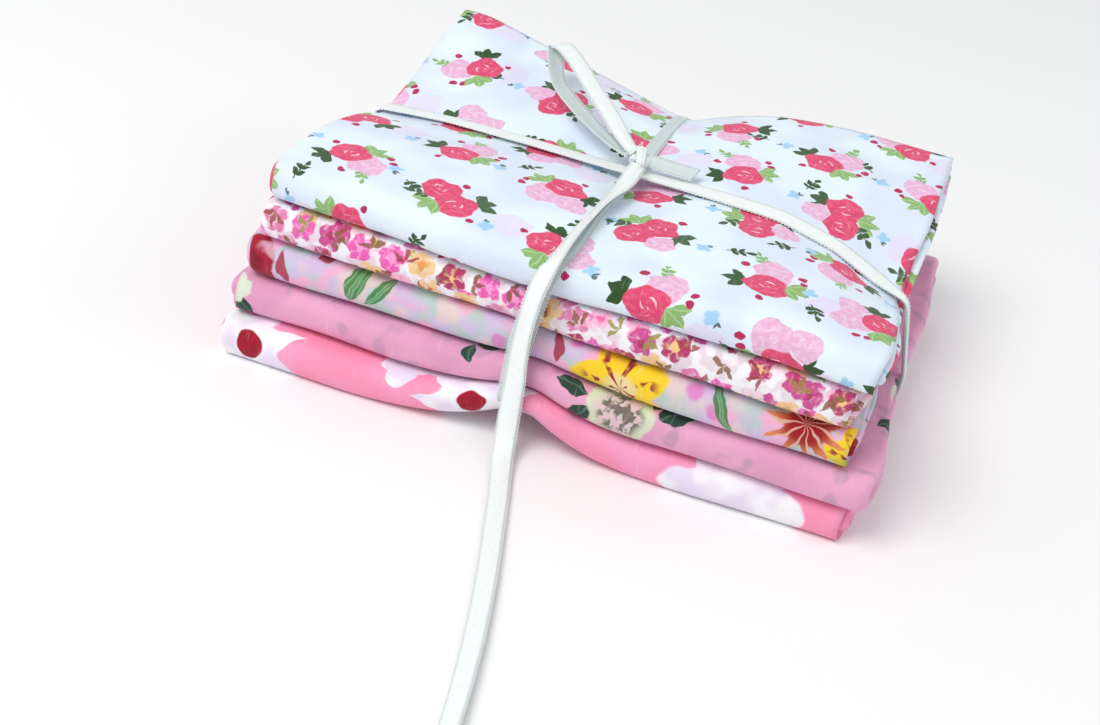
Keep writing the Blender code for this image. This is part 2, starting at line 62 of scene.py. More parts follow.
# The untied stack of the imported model, which the cloth is folded and settled to
FOLDED_LENGTH = 0.140
FOLDED_WIDTH = 0.114
STACK_HEIGHT = 0.048
QUARTER_GAP = 0.0010
PASS_GAP = 0.0005
QUARTERS_IN_STACK = 5
QUARTER_HEIGHT = (STACK_HEIGHT - (QUARTERS_IN_STACK - 1) * QUARTER_GAP) / QUARTERS_IN_STACK
PASS_THICKNESS = (QUARTER_HEIGHT - 3 * PASS_GAP) / 4
PASS_PITCH = PASS_THICKNESS + PASS_GAP
FRONT_FOLD_DEPTH = 0.0040
FRONT_FOLD_ROUNDNESS = 2.6
FOLD_WAVE = 0.0005
LONG_WAVE = 0.017
SHORT_WAVE = 0.0074
SHORT_WAVE_SHARE = 0.6
WAVE_EDGE_POWER = 4
BOX_MIDDLE_X = 0.0
BOX_MIDDLE_Y = -0.0034

# Plan lines of the two ribbon runs: position at the middle, and slope
LONG_RUN_Y = -0.0015
LONG_RUN_SLOPE = -0.10
SHORT_RUN_TOP_X = -0.0009
SHORT_RUN_TOP_SLOPE = -0.018
SHORT_RUN_BOTTOM_X = -0.0028
SHORT_RUN_BOTTOM_SLOPE = 0.012
LEVEL_HALF = 0.0030

# How the ribbon draws the stack down, up and in
FLAT_REACH_LONG = 0.049
FLAT_REACH_SHORT = 0.060
FLAT_POWER = 1.15
ROUND_REACH = 0.068
ROUND_POWER = 3.0
SAG_BLEND = 3.0
SAG_HEIGHT_POWER = 1.6
SAG_EASING = 0.4
BACK_LEFT_RISE = 0.0012
BACK_LEFT_SPREAD = 0.022
BACK_RIGHT_FALL = 0.0010
BACK_RIGHT_SPREAD = 0.040
LONG_LIFT_MIDDLE = 0.0017
LONG_LIFT_END = 0.0062
SHORT_LIFT_MIDDLE = 0.0032
SHORT_LIFT_END = 0.0052
LIFT_END_X = 0.078
LIFT_END_Y = 0.062
LIFT_FADE = 0.018
LIFT_REACH_MIDDLE = 0.011
LIFT_REACH_END = 0.024
LIFT_POWER = 2.4
LIFT_BLEND = 4.0
LIFT_HEIGHT_POWER = 2.5
SIDE_DRAWN_IN = 0.0014
LEFT_DRAWN_IN = 0.0003
FACE_DRAWN_IN = 0.0012
DRAWN_REACH = 0.030
DRAWN_POWER = 2.0
DRAWN_EDGE_POWER = 5
DRAWN_EDGE_LIMIT = 1.1

Sag = namedtuple("Sag", "along depth")
LONG_SAGS = (
    Sag(-0.080, 0.0108), Sag(-0.070, 0.0104), Sag(-0.050, 0.0076), Sag(-0.025, 0.0058),
    Sag(0.000, 0.0048), Sag(0.020, 0.0028), Sag(0.036, 0.0024), Sag(0.050, 0.0046),
    Sag(0.060, 0.0082), Sag(0.070, 0.0116), Sag(0.080, 0.0130),
)
SHORT_SAGS = (
    Sag(-0.066, 0.0040), Sag(-0.057, 0.0034), Sag(-0.045, 0.0030), Sag(-0.020, 0.0032),
    Sag(0.000, 0.0048), Sag(0.017, 0.0050), Sag(0.033, 0.0060), Sag(0.045, 0.0080),
    Sag(0.057, 0.0112), Sag(0.066, 0.0120),
)

# One cloth of 0.559 x 0.457, folded in four each way: sixteen layers
LAYER_PITCH = 0.00055
BUNDLE_MIDDLE = 1.0 * PASS_PITCH
BUNDLE_HALF = 3.5 * LAYER_PITCH
TOP_END_INSET = 0.0006
INNER_END_INSET = 0.0022

Quarter = namedtuple("Quarter", "name left right forward turn wave roll slot print_x print_y")
# roll is the end with the two nested side folds: 1 for the right end, -1 for the left
QUARTERS = (
    Quarter("quarter_1_rosebuds", -0.0718, 0.0716, 0.0000, 0.0, 0.3, -1, "rosebud_cotton", 3.0, 5.0),
    Quarter("quarter_2_ditsy", -0.0724, 0.0690, 0.0006, 0.2, 1.9, -1, "ditsy_cotton", 0.0, 0.0),
    Quarter("quarter_3_garden", -0.0756, 0.0706, 0.0010, 0.4, 3.1, -1, "garden_cotton", -72.4, -115.0),
    Quarter("quarter_4_cream_roses", -0.0776, 0.0768, 0.0026, 1.2, 4.6, 1, "cream_rose_cotton", -76.2, -115.0),
    Quarter("quarter_5_coral", -0.0770, 0.0745, 0.0048, 3.8, 5.7, -1, "coral_cotton", -73.1, -115.0),
)
SHEET_NAMES = ("rosebud_quarter", "ditsy_quarter", "garden_quarter", "cream_rose_quarter", "coral_quarter")

Route = namedtuple("Route", "x y z side_x side_y side_z share")
# The loose ends of the bow, in millimetres, with the direction of the ribbon's width and the
# share of that width that is not gathered
LOOP_ROUTE = (
    Route(-2.5, 1.3, 48.4, 0.75, 0.62, 0.05, 0.55), Route(-4.5, 2.0, 49.4, 0.76, 0.64, 0.03, 0.66),
    Route(-7.4, 5.2, 50.2, 0.76, 0.65, 0.00, 0.82), Route(-10.5, 9.2, 50.9, 0.75, 0.66, 0.00, 0.95),
    Route(-13.8, 13.2, 51.6, 0.75, 0.66, 0.00, 1.0), Route(-17.3, 17.3, 52.3, 0.75, 0.66, 0.00, 1.0),
    Route(-20.8, 21.2, 53.0, 0.75, 0.66, 0.00, 1.0), Route(-24.2, 25.3, 53.7, 0.75, 0.66, 0.00, 1.0),
    Route(-27.8, 29.7, 54.3, 0.77, 0.64, 0.02, 1.0), Route(-31.3, 33.6, 54.8, 0.78, 0.60, 0.06, 1.0),
    Route(-34.2, 36.6, 54.9, 0.74, 0.64, 0.12, 1.0), Route(-36.0, 38.3, 54.4, 0.66, 0.72, 0.16, 1.0),
    Route(-36.8, 38.9, 53.6, 0.58, 0.78, 0.20, 1.0), Route(-36.8, 38.3, 52.7, 0.56, 0.78, 0.10, 1.0),
    Route(-36.2, 36.2, 52.0, 0.62, 0.62, -0.25, 1.0), Route(-34.5, 31.8, 51.4, 0.72, 0.48, -0.40, 1.0),
    Route(-32.5, 27.2, 50.9, 0.76, 0.50, -0.36, 1.0), Route(-30.0, 23.1, 50.4, 0.75, 0.60, -0.24, 1.0),
    Route(-26.9, 19.6, 49.9, 0.70, 0.69, -0.12, 1.0), Route(-23.5, 16.3, 49.4, 0.68, 0.72, -0.10, 1.0),
    Route(-20.0, 13.2, 49.0, 0.67, 0.74, -0.06, 1.0), Route(-16.5, 10.1, 48.7, 0.66, 0.75, -0.08, 0.95),
    Route(-13.0, 7.0, 48.5, 0.65, 0.76, -0.10, 0.88), Route(-9.8, 4.4, 48.4, 0.64, 0.77, -0.10, 0.78),
    Route(-6.7, 2.1, 48.4, 0.64, 0.77, -0.08, 0.66), Route(-3.2, -0.1, 48.5, 0.64, 0.77, -0.05, 0.55),
)
SHORT_TAIL_ROUTE = (
    Route(0.5, 1.6, 47.9, 0.0, 0.94, 0.3, 0.64), Route(3.1, 1.5, 47.7, 0.0, 0.945, 0.33, 0.80),
    Route(6.3, 1.4, 47.6, 0.02, 0.945, 0.33, 0.88), Route(9.6, 1.5, 47.5, 0.06, 0.94, 0.32, 0.90),
    Route(13.3, 1.4, 47.5, 0.12, 0.94, 0.3, 0.90),
)
LONG_TAIL_ROUTE = (
    Route(0.4, -4.8, 48.4, -0.55, 0.78, 0.3, 0.68), Route(0.3, -8.9, 48.0, -0.78, 0.58, 0.15, 0.76),
    Route(0.3, -13.1, 47.7, -0.95, 0.25, -0.08, 0.80), Route(0.0, -17.8, 47.5, -0.92, 0.0, -0.36, 0.80),
    Route(-0.8, -23.8, 47.5, -0.78, 0.0, -0.62, 0.86), Route(-1.5, -29.5, 47.4, -0.70, 0.0, -0.71, 0.92),
    Route(-2.1, -36.8, 47.3, -0.69, 0.0, -0.72, 1.0), Route(-2.4, -44.0, 47.3, -0.69, 0.0, -0.72, 1.0),
    Route(-2.5, -49.6, 47.1, -0.71, 0.0, -0.70, 1.0), Route(-2.5, -53.5, 46.8, -0.74, 0.08, -0.66, 1.0),
    Route(-2.7, -56.5, 46.0, -0.79, 0.20, -0.57, 1.0), Route(-3.3, -57.9, 44.1, -0.83, 0.36, -0.40, 1.0),
    Route(-4.0, -58.6, 41.3, -0.85, 0.46, -0.22, 1.0), Route(-4.6, -59.2, 37.6, -0.86, 0.50, -0.08, 1.0),
    Route(-5.1, -59.7, 32.6, -0.86, 0.51, 0.0, 1.0), Route(-5.3, -60.1, 27.5, -0.87, 0.49, 0.0, 1.0),
    Route(-5.2, -60.6, 22.5, -0.92, 0.38, 0.0, 1.0), Route(-4.9, -61.2, 17.5, -0.97, 0.24, 0.0, 1.0),
    Route(-4.7, -62.0, 12.6, -0.99, 0.1, 0.0, 1.0), Route(-4.3, -63.3, 8.0, -1.0, 0.0, 0.0, 0.98),
    Route(-3.6, -65.6, 4.2, -1.0, -0.05, 0.0, 0.96), Route(-2.6, -69.0, 2.2, -0.99, -0.1, -0.05, 0.94),
    Route(-0.8, -74.4, 1.3, -0.98, -0.16, -0.1, 0.92), Route(1.4, -81.3, 1.0, -0.95, -0.22, -0.2, 0.90),
    Route(5.0, -93.3, 1.1, -0.94, -0.24, -0.26, 0.88), Route(8.4, -105.1, 1.2, -0.93, -0.24, -0.3, 0.88),
    Route(11.0, -115.0, 1.3, -0.92, -0.24, -0.34, 0.88), Route(13.3, -124.6, 1.4, -0.9, -0.24, -0.38, 0.88),
    Route(15.2, -133.6, 1.5, -0.88, -0.22, -0.44, 0.88), Route(16.7, -141.5, 1.5, -0.86, -0.2, -0.48, 0.88),
    Route(17.6, -147.5, 1.5, -0.86, -0.18, -0.46, 0.90), Route(18.4, -153.7, 1.3, -0.9, -0.16, -0.35, 0.95),
    Route(18.9, -158.1, 1.1, -0.95, -0.14, -0.25, 1.0),
)
SHORT_TAIL_SLANT = 0.0012
LONG_TAIL_SLANT = 0.0016

# Where the bow draws the run across aside, in millimetres: its place along X by its place along
# Y on the top and the underside, and by its height on the front; and its ungathered share
Aside = namedtuple("Aside", "at x")
ACROSS_TOP = (
    Aside(-58.0, -2.9), Aside(-50.0, -1.8), Aside(-41.0, -1.5), Aside(-32.0, -1.75), Aside(-25.0, -1.75),
    Aside(-18.0, -1.4), Aside(-8.0, -0.8), Aside(0.0, -0.9), Aside(58.0, -2.0),
)
ACROSS_FRONT = (
    Aside(0.0, -5.6), Aside(12.0, -5.7), Aside(22.0, -5.9), Aside(28.0, -5.7), Aside(35.0, -4.8),
    Aside(42.0, -3.8), Aside(46.0, -2.9),
)
ACROSS_UNDER = (Aside(-58.0, -5.6), Aside(58.0, -2.1))
ACROSS_SHARE = (
    Aside(-60.0, 1.0), Aside(-57.0, 1.0), Aside(-50.0, 0.82), Aside(-41.0, 0.68), Aside(-32.0, 0.58),
    Aside(-18.0, 0.60), Aside(-8.0, 0.68), Aside(3.0, 0.66), Aside(50.0, 0.64), Aside(60.0, 0.70),
)
# How the run along leans across its width, and how far the knot lifts it
ALONG_LEAN = (
    Aside(-72.0, -0.04), Aside(-60.0, -0.12), Aside(-10.0, -0.12), Aside(10.0, 0.0), Aside(30.0, 0.08),
    Aside(62.0, 0.12), Aside(72.0, 0.0),
)
ALONG_SHIFT = (Aside(-72.0, 0.0), Aside(-40.0, 0.3), Aside(-10.0, 0.3), Aside(10.0, 0.9), Aside(50.0, 1.2), Aside(72.0, 0.0))
# Offset on the flat ribbon that marks its dull back, which the satin paints darker as shade
BACK_PLACE = 100.0

Turn = namedtuple("Turn", "x y z ahead_x ahead_y reach height width taper lean")
# The turns of the knot, in millimetres: middle, direction, half length, half height, width,
# how much it narrows at its front and how it leans
KNOT_TURNS = (
    Turn(-0.6, 0.8, 47.9, -0.26, 0.96, 4.3, 1.9, 2.9, 0.30, 0.10),
    Turn(-0.6, 0.6, 47.3, 0.90, -0.20, 2.3, 1.2, 3.6, 0.0, 0.0),
)

# The photograph's view, in this frame
CAMERA_PLACE = (0.0657, -0.3136, 0.2022)
CAMERA_AZIMUTH = radians(13.95)
CAMERA_ELEVATION = radians(33.91)
CAMERA_ROLL = radians(10.82)


class ClothSizes(PropertyGroup):
    """Sizes of the cloth sheets."""

    thickness: FloatProperty(
        name="Cloth Thickness", description="Thickness of one layer of cotton",
        default=0.00030, min=0.0001, max=0.0005, precision=5, unit="LENGTH")
    loft: FloatProperty(
        name="Loft", description="How far a folded quarter springs open, as a share of its height",
        default=1.06, min=1.0, max=1.1, subtype="FACTOR")
    corner_rounding: FloatProperty(
        name="Corner Rounding", description="How far the ends draw back along the front fold",
        default=0.0014, min=0.0, max=0.004, precision=4, unit="LENGTH")
    edge_wander: FloatProperty(
        name="Edge Wander", description="How unevenly the folded layers line up at the ends",
        default=0.0005, min=0.0, max=0.002, precision=4, unit="LENGTH")
    thread: FloatProperty(
        name="Thread Pitch", description="Distance between the threads of the plain weave",
        default=0.00042, min=0.0002, max=0.002, precision=5, unit="LENGTH")


class RibbonSizes(PropertyGroup):
    """Sizes and colour of the satin ribbon."""

    width: FloatProperty(
        name="Ribbon Width", description="Width of the satin between its picot edges",
        default=0.0047, min=0.002, max=0.02, precision=4, unit="LENGTH")
    thickness: FloatProperty(
        name="Ribbon Thickness", description="Thickness of the satin",
        default=0.00035, min=0.0001, max=0.001, precision=5, unit="LENGTH")
    picot_spacing: FloatProperty(
        name="Picot Spacing", description="Distance between the small loops of the edges",
        default=0.00095, min=0.0004, max=0.005, precision=5, unit="LENGTH")
    picot_radius: FloatProperty(
        name="Picot Radius", description="Radius of one small loop of the edges",
        default=0.00036, min=0.0001, max=0.002, precision=5, unit="LENGTH")
    picot_thread: FloatProperty(
        name="Picot Thread", description="Thickness of the thread of the edges",
        default=0.00024, min=0.00005, max=0.001, precision=5, unit="LENGTH")
    colour: FloatVectorProperty(
        name="Ribbon Colour", description="Colour of the satin",
        default=(0.87, 0.93, 0.92), min=0.0, max=1.0, size=3, subtype="COLOR")


class StageSizes(PropertyGroup):
    """Lens, lights and floor of the stage."""

    lens: FloatProperty(
        name="Lens", description="Focal length of the camera on a 36 mm wide sensor",
        default=47.88, min=10.0, max=200.0, unit="CAMERA")
    key_power: FloatProperty(
        name="Key Light", description="Power of the large soft light",
        default=6.3, min=0.0, max=200.0, unit="POWER")
    fill_power: FloatProperty(
        name="Fill Light", description="Power of the weaker light from the other side",
        default=1.2, min=0.0, max=200.0, unit="POWER")
    surround: FloatProperty(
        name="Surround", description="Brightness of the pale surroundings",
        default=0.60, min=0.0, max=5.0)
    floor_colour: FloatVectorProperty(
        name="Floor Colour", description="Colour of the plain floor",
        default=(0.93, 0.93, 0.93), min=0.0, max=1.0, size=3, subtype="COLOR")


def dye(red, green, blue):
    """A colour of the screen, 0 to 255 each, as linear light with full cover."""
    linear = []
    for level in (red, green, blue):
        share = level / 255
        linear.append(share / 12.92 if share <= 0.04045 else ((share + 0.055) / 1.055) ** 2.4)
    return (*linear, 1.0)


class Amount:
    """A number, vector or colour in a finish, with the sums that a print needs."""

    def __init__(self, finish, socket):
        self.finish = finish
        self.socket = socket

    def maths(self, operation, *others, clamp=False):
        """A new number from this one and others."""
        values = dict(enumerate((self, *others)))
        return self.finish.node("ShaderNodeMath", {"operation": operation, "use_clamp": clamp}, values)

    def vectors(self, operation, *others, output="Vector"):
        """A new vector, or its length, from this one and others."""
        values = dict(enumerate((self, *others)))
        return self.finish.node("ShaderNodeVectorMath", {"operation": operation}, values, output)

    def output(self, name):
        """Another output of the node that this amount comes from."""
        return Amount(self.finish, self.socket.node.outputs[name])

    def __add__(self, other):
        return self.maths("ADD", other)

    def __radd__(self, other):
        return self.maths("ADD", other)

    def __sub__(self, other):
        return self.maths("SUBTRACT", other)

    def __rsub__(self, other):
        return self.finish.node("ShaderNodeMath", {"operation": "SUBTRACT"}, {0: other, 1: self})

    def __mul__(self, other):
        return self.maths("MULTIPLY", other)

    def __rmul__(self, other):
        return self.maths("MULTIPLY", other)

    def __truediv__(self, other):
        return self.maths("DIVIDE", other)

    def size(self):
        """This number without its sign."""
        return self.maths("ABSOLUTE")

    def wave(self):
        """The sine of this number."""
        return self.maths("SINE")

    def edge(self, start, end):
        """A soft step from 0 at start to 1 at end."""
        return self.finish.node("ShaderNodeMapRange", {"interpolation_type": "SMOOTHSTEP"},
                                {"Value": self, "From Min": start, "From Max": end})

    def parts(self):
        """The X and Y of this vector."""
        split = self.finish.node("ShaderNodeSeparateXYZ", {}, {0: self})
        return split, split.output("Y")


class Finish:
    """One material, with the nodes that its print and its weave are charted with."""

    def __init__(self, name):
        self.material = bpy.data.materials.new(name)
        self.material.use_nodes = True
        self.tree = self.material.node_tree
        self.shader = self.tree.nodes["Principled BSDF"]

    def node(self, kind, settings, values, output=0):
        """A node of a kind, with its settings made first and then its sockets fed."""
        made = self.tree.nodes.new(kind)
        for key, value in settings.items():
            if key == "stops":
                ramp = made.color_ramp
                while len(ramp.elements) < len(value):
                    ramp.elements.new(1.0)
                for element, (place, colour) in zip(ramp.elements, value):
                    element.position = place
                    element.color = colour
            elif key == "ramp":
                made.color_ramp.interpolation = value
            else:
                setattr(made, key, value)
        for key, value in values.items():
            if isinstance(value, Amount):
                self.tree.links.new(value.socket, made.inputs[key])
            else:
                made.inputs[key].default_value = value
        return Amount(self, made.outputs[output])

    def print_place(self, shift_x, shift_y):
        """The place on the flat cloth in millimetres, as a vector."""
        flat = self.node("ShaderNodeUVMap", {"uv_map": "cloth"}, {})
        scaled = flat.vectors("MULTIPLY_ADD", (1000.0, 1000.0, 0.0), (shift_x, shift_y, 0.0))
        return scaled

    def vector(self, x, y, z=0.0):
        """A vector from numbers."""
        return self.node("ShaderNodeCombineXYZ", {}, {0: x, 1: y, 2: z})

    def paint(self, ground, colour, mask):
        """A colour laid over the ground where the mask is."""
        return self.node("ShaderNodeMix", {"data_type": "RGBA"}, {0: mask, 6: ground, 7: colour}, 2)

    def blend(self, mask, low, high):
        """A number between low and high by the mask."""
        return self.node("ShaderNodeMix", {"data_type": "FLOAT"}, {0: mask, 2: low, 3: high}, 0)

    def blotches(self, place, size, detail=1.0):
        """Soft noise from 0 to 1 with blotches of about that size in millimetres."""
        scaled = place.vectors("MULTIPLY", (1.0 / size, 1.0 / size, 1.0))
        return self.node("ShaderNodeTexNoise", {"noise_dimensions": "2D"},
                         {"Vector": scaled, "Scale": 1.0, "Detail": detail, "Roughness": 0.55})

    def turned(self, place, angle):
        """A place turned about its origin."""
        return self.node("ShaderNodeVectorRotate", {"rotation_type": "Z_AXIS"}, {"Vector": place, "Angle": angle})

    def wobbled(self, place, size, amount):
        """A place pushed about a little, so that a motif's edge looks brushed."""
        scaled = place.vectors("MULTIPLY", (1.0 / size, 1.0 / size, 1.0))
        push = self.node("ShaderNodeTexNoise", {"noise_dimensions": "2D"},
                         {"Vector": scaled, "Scale": 1.0, "Detail": 1.0}, "Color")
        return push.vectors("MULTIPLY_ADD", (amount * 2, amount * 2, 0.0), place)

    def laid(self, place, wide, high):
        """Places in plain repeats, each from the middle of its repeat."""
        x, y = place.parts()
        return self.vector(((x / wide + 0.5).maths("FRACT") - 0.5) * wide,
                           ((y / high + 0.5).maths("FRACT") - 0.5) * high)

    def blade(self, place, base, heading, length, width, bend=0.0):
        """One pointed leaf or petal, curved by bend: its mask and how far from its middle rib."""
        along, across = self.turned(place.vectors("SUBTRACT", (*base, 0.0)), -heading).parts()
        share = along / length
        beside = (across - share * (1.0 - share) * (4.0 * bend)).size()
        bulge = (1.0 - (share * 2.0 - 1.0).maths("POWER", 2.0)) * (width / 2)
        return (bulge - beside).edge(0.0, 0.3), beside

    def tossed(self, place, wide, high, jitter, seed, turn=1.0):
        """Places in brick-laid repeats, each nudged, turned and perhaps mirrored, and two chances per repeat."""
        x, y = place.parts()
        row = (y / high).maths("FLOOR")
        across = x / wide + row.maths("MULTIPLY", 0.5).maths("FRACT")
        column = across.maths("FLOOR")
        local_x = (across - column - 0.5) * wide
        local_y = (y / high - row - 0.5) * high
        chance = self.node("ShaderNodeTexWhiteNoise", {"noise_dimensions": "3D"},
                           {"Vector": self.vector(column, row, seed)}, "Color")
        local = self.vector(local_x, local_y)
        nudge = chance.vectors("MULTIPLY_ADD", (jitter * 2, jitter * 2, 0.0), (-jitter, -jitter, 0.0))
        moved = local.vectors("SUBTRACT", nudge)
        mirror = chance.vectors("DOT_PRODUCT", (0.0, 0.0, 1.0), output="Value").maths("GREATER_THAN", 0.5)
        moved = moved.vectors("MULTIPLY", self.vector(mirror * 2.0 - 1.0, 1.0, 1.0))
        second = self.node("ShaderNodeTexWhiteNoise", {"noise_dimensions": "3D"},
                           {"Vector": self.vector(column, row, seed + 0.5)}, "Color")
        numbers = self.node("ShaderNodeSeparateXYZ", {}, {0: second})
        angle = (numbers - 0.5) * (2 * pi * turn)
        return self.turned(moved, angle), numbers.output("Y"), numbers.output("Z")

    def rose(self, place, middle, radius, spin=0.0):
        """A round rose: its mask, and the mask of the broken pale strokes at its middle."""
        offset = place.vectors("SUBTRACT", (*middle, 0.0))
        x, y = offset.parts()
        angle = y.maths("ARCTAN2", x)
        reach = offset.vectors("LENGTH", output="Value") / radius
        lobes = (angle * 3.0 + spin).wave() * 0.07 + (angle * 5.0 - 2.0 * spin).wave() * 0.05
        mask = (reach + lobes).edge(1.05, 0.95)
        swirl = (reach * 2.3 + angle / (2 * pi) + 10.0).maths("FRACT")
        broken = (angle * 3.0 + reach * 7.0 + spin).wave().edge(-0.1, 0.4)
        line = (swirl - 0.5).size().edge(0.17, 0.07) * reach.edge(0.66, 0.42) * broken
        return mask, line * mask

    def fan(self, place, base, heading, leaves, length, width, spread=0.8):
        """Pointed leaves that fan out from a base: their mask and how far from their middle rib."""
        offset = place.vectors("SUBTRACT", (*base, 0.0))
        x, y = offset.parts()
        angle = y.maths("ARCTAN2", x) - heading + (pi + spread * leaves / 2 + 4 * pi)
        whole = angle.maths("MODULO", 2 * pi)
        shifted = whole - pi
        inside = shifted.maths("GREATER_THAN", 0.0) * shifted.maths("LESS_THAN", spread * leaves)
        local = (shifted + 20 * spread).maths("MODULO", spread) - spread / 2
        reach = offset.vectors("LENGTH", output="Value")
        along = reach * local.maths("COSINE") / length
        beside = (reach * local.wave()).size()
        bulge = (1.0 - (along * 2.0 - 1.0).maths("POWER", 2.0)) * (width / 2)
        return (bulge - beside).edge(0.0, 0.22) * inside, beside

    def sprig(self, place, base, heading, pairs, pitch, leaf, width):
        """A stem with pairs of slanting leaves and one at its tip, as a mask."""
        offset = place.vectors("SUBTRACT", (*base, 0.0))
        laid = self.node("ShaderNodeVectorRotate", {"rotation_type": "Z_AXIS"},
                         {"Vector": offset, "Angle": -heading})
        along, across = laid.parts()
        beside = across.size()
        last = along.maths("GREATER_THAN", pairs * pitch)
        step = along.maths("MODULO", pitch)
        near = self.blend(last, step, along - pairs * pitch)
        slant = radians(40)
        lengthwise = near * self.blend(last, cos(slant), 1.0) + beside * self.blend(last, sin(slant), 0.0)
        sideways = beside * self.blend(last, cos(slant), 1.0) - near * self.blend(last, sin(slant), 0.0)
        bulge = (1.0 - (lengthwise * (2.0 / leaf) - 1.0).maths("POWER", 2.0)) * (width / 2)
        leaves = (bulge - sideways.size()).edge(0.0, 0.2) * along.edge(-0.1, 0.1)
        stem = beside.edge(0.28, 0.14) * along.edge(-1.2, -1.0) * along.edge(pairs * pitch + 0.4, pairs * pitch)
        return leaves.maths("MAXIMUM", stem)

    def dot(self, place, middle, radius, soft=0.2):
        """A round dot as a mask."""
        distance = place.vectors("DISTANCE", (*middle, 0.0), output="Value")
        return distance.edge(radius + soft / 2, radius - soft / 2)

    def bloom(self, place, middle, radius, petals, notch=0.35, soft=0.04, pointed=False):
        """An open flower: its mask, how far out it is, and the direction round its middle."""
        offset = place.vectors("SUBTRACT", (*middle, 0.0))
        x, y = offset.parts()
        angle = y.maths("ARCTAN2", x)
        reach = offset.vectors("LENGTH", output="Value") / radius
        half = angle * (petals / 2)
        lobe = 1.0 - half.wave().size() if pointed else half.maths("COSINE").size()
        mask = (reach - lobe * notch).edge(1.0 - notch + soft, 1.0 - notch - soft)
        return mask, reach, angle

    def cotton(self, place, colour, thread, roughness=0.82):
        """Close the material as plain-woven cotton of that printed colour, with painted shade in the weave's hollows.
        """
        x, y = place.parts()
        warp = (x * (2 * pi / thread)).wave()
        weft = (y * (2 * pi / thread)).wave()
        slubs = self.blotches(place.vectors("MULTIPLY", (1.0, 0.12, 1.0)), 0.8)
        soft = self.blotches(place, 14.0, 2.0)
        relief = warp * weft * 0.5 + slubs * 0.5
        worn = self.paint(colour, (0.86, 0.88, 0.92, 1.0), slubs.edge(0.62, 0.9) * 0.16)
        # Painted shade: the colour is darkened in the hollows between the threads, and a little in soft patches where
        # the crease relief rises.
        shaded = self.node("ShaderNodeMix", {"data_type": "RGBA", "blend_type": "MULTIPLY"},
                           {0: soft.edge(0.35, 0.75) * 0.06 + (warp * weft).edge(0.2, -1.0) * 0.10,
                            6: worn, 7: (0.55, 0.55, 0.62, 1.0)}, 2)
        threads = self.node("ShaderNodeBump", {}, {"Strength": 0.25, "Distance": 0.00006, "Height": relief},
                            "Normal")
        creases = self.node("ShaderNodeBump", {}, {"Strength": 0.5, "Distance": 0.0012, "Height": soft,
                                                   "Normal": threads}, "Normal")
        self.tree.links.new(shaded.socket, self.shader.inputs["Base Color"])
        self.tree.links.new(creases.socket, self.shader.inputs["Normal"])
        self.tree.links.new((slubs * 0.12 + (roughness - 0.06)).socket, self.shader.inputs["Roughness"])
        self.shader.inputs["Sheen Weight"].default_value = 0.12
        self.shader.inputs["Sheen Roughness"].default_value = 0.5
        self.shader.inputs["Specular IOR Level"].default_value = 0.25
        return self.material


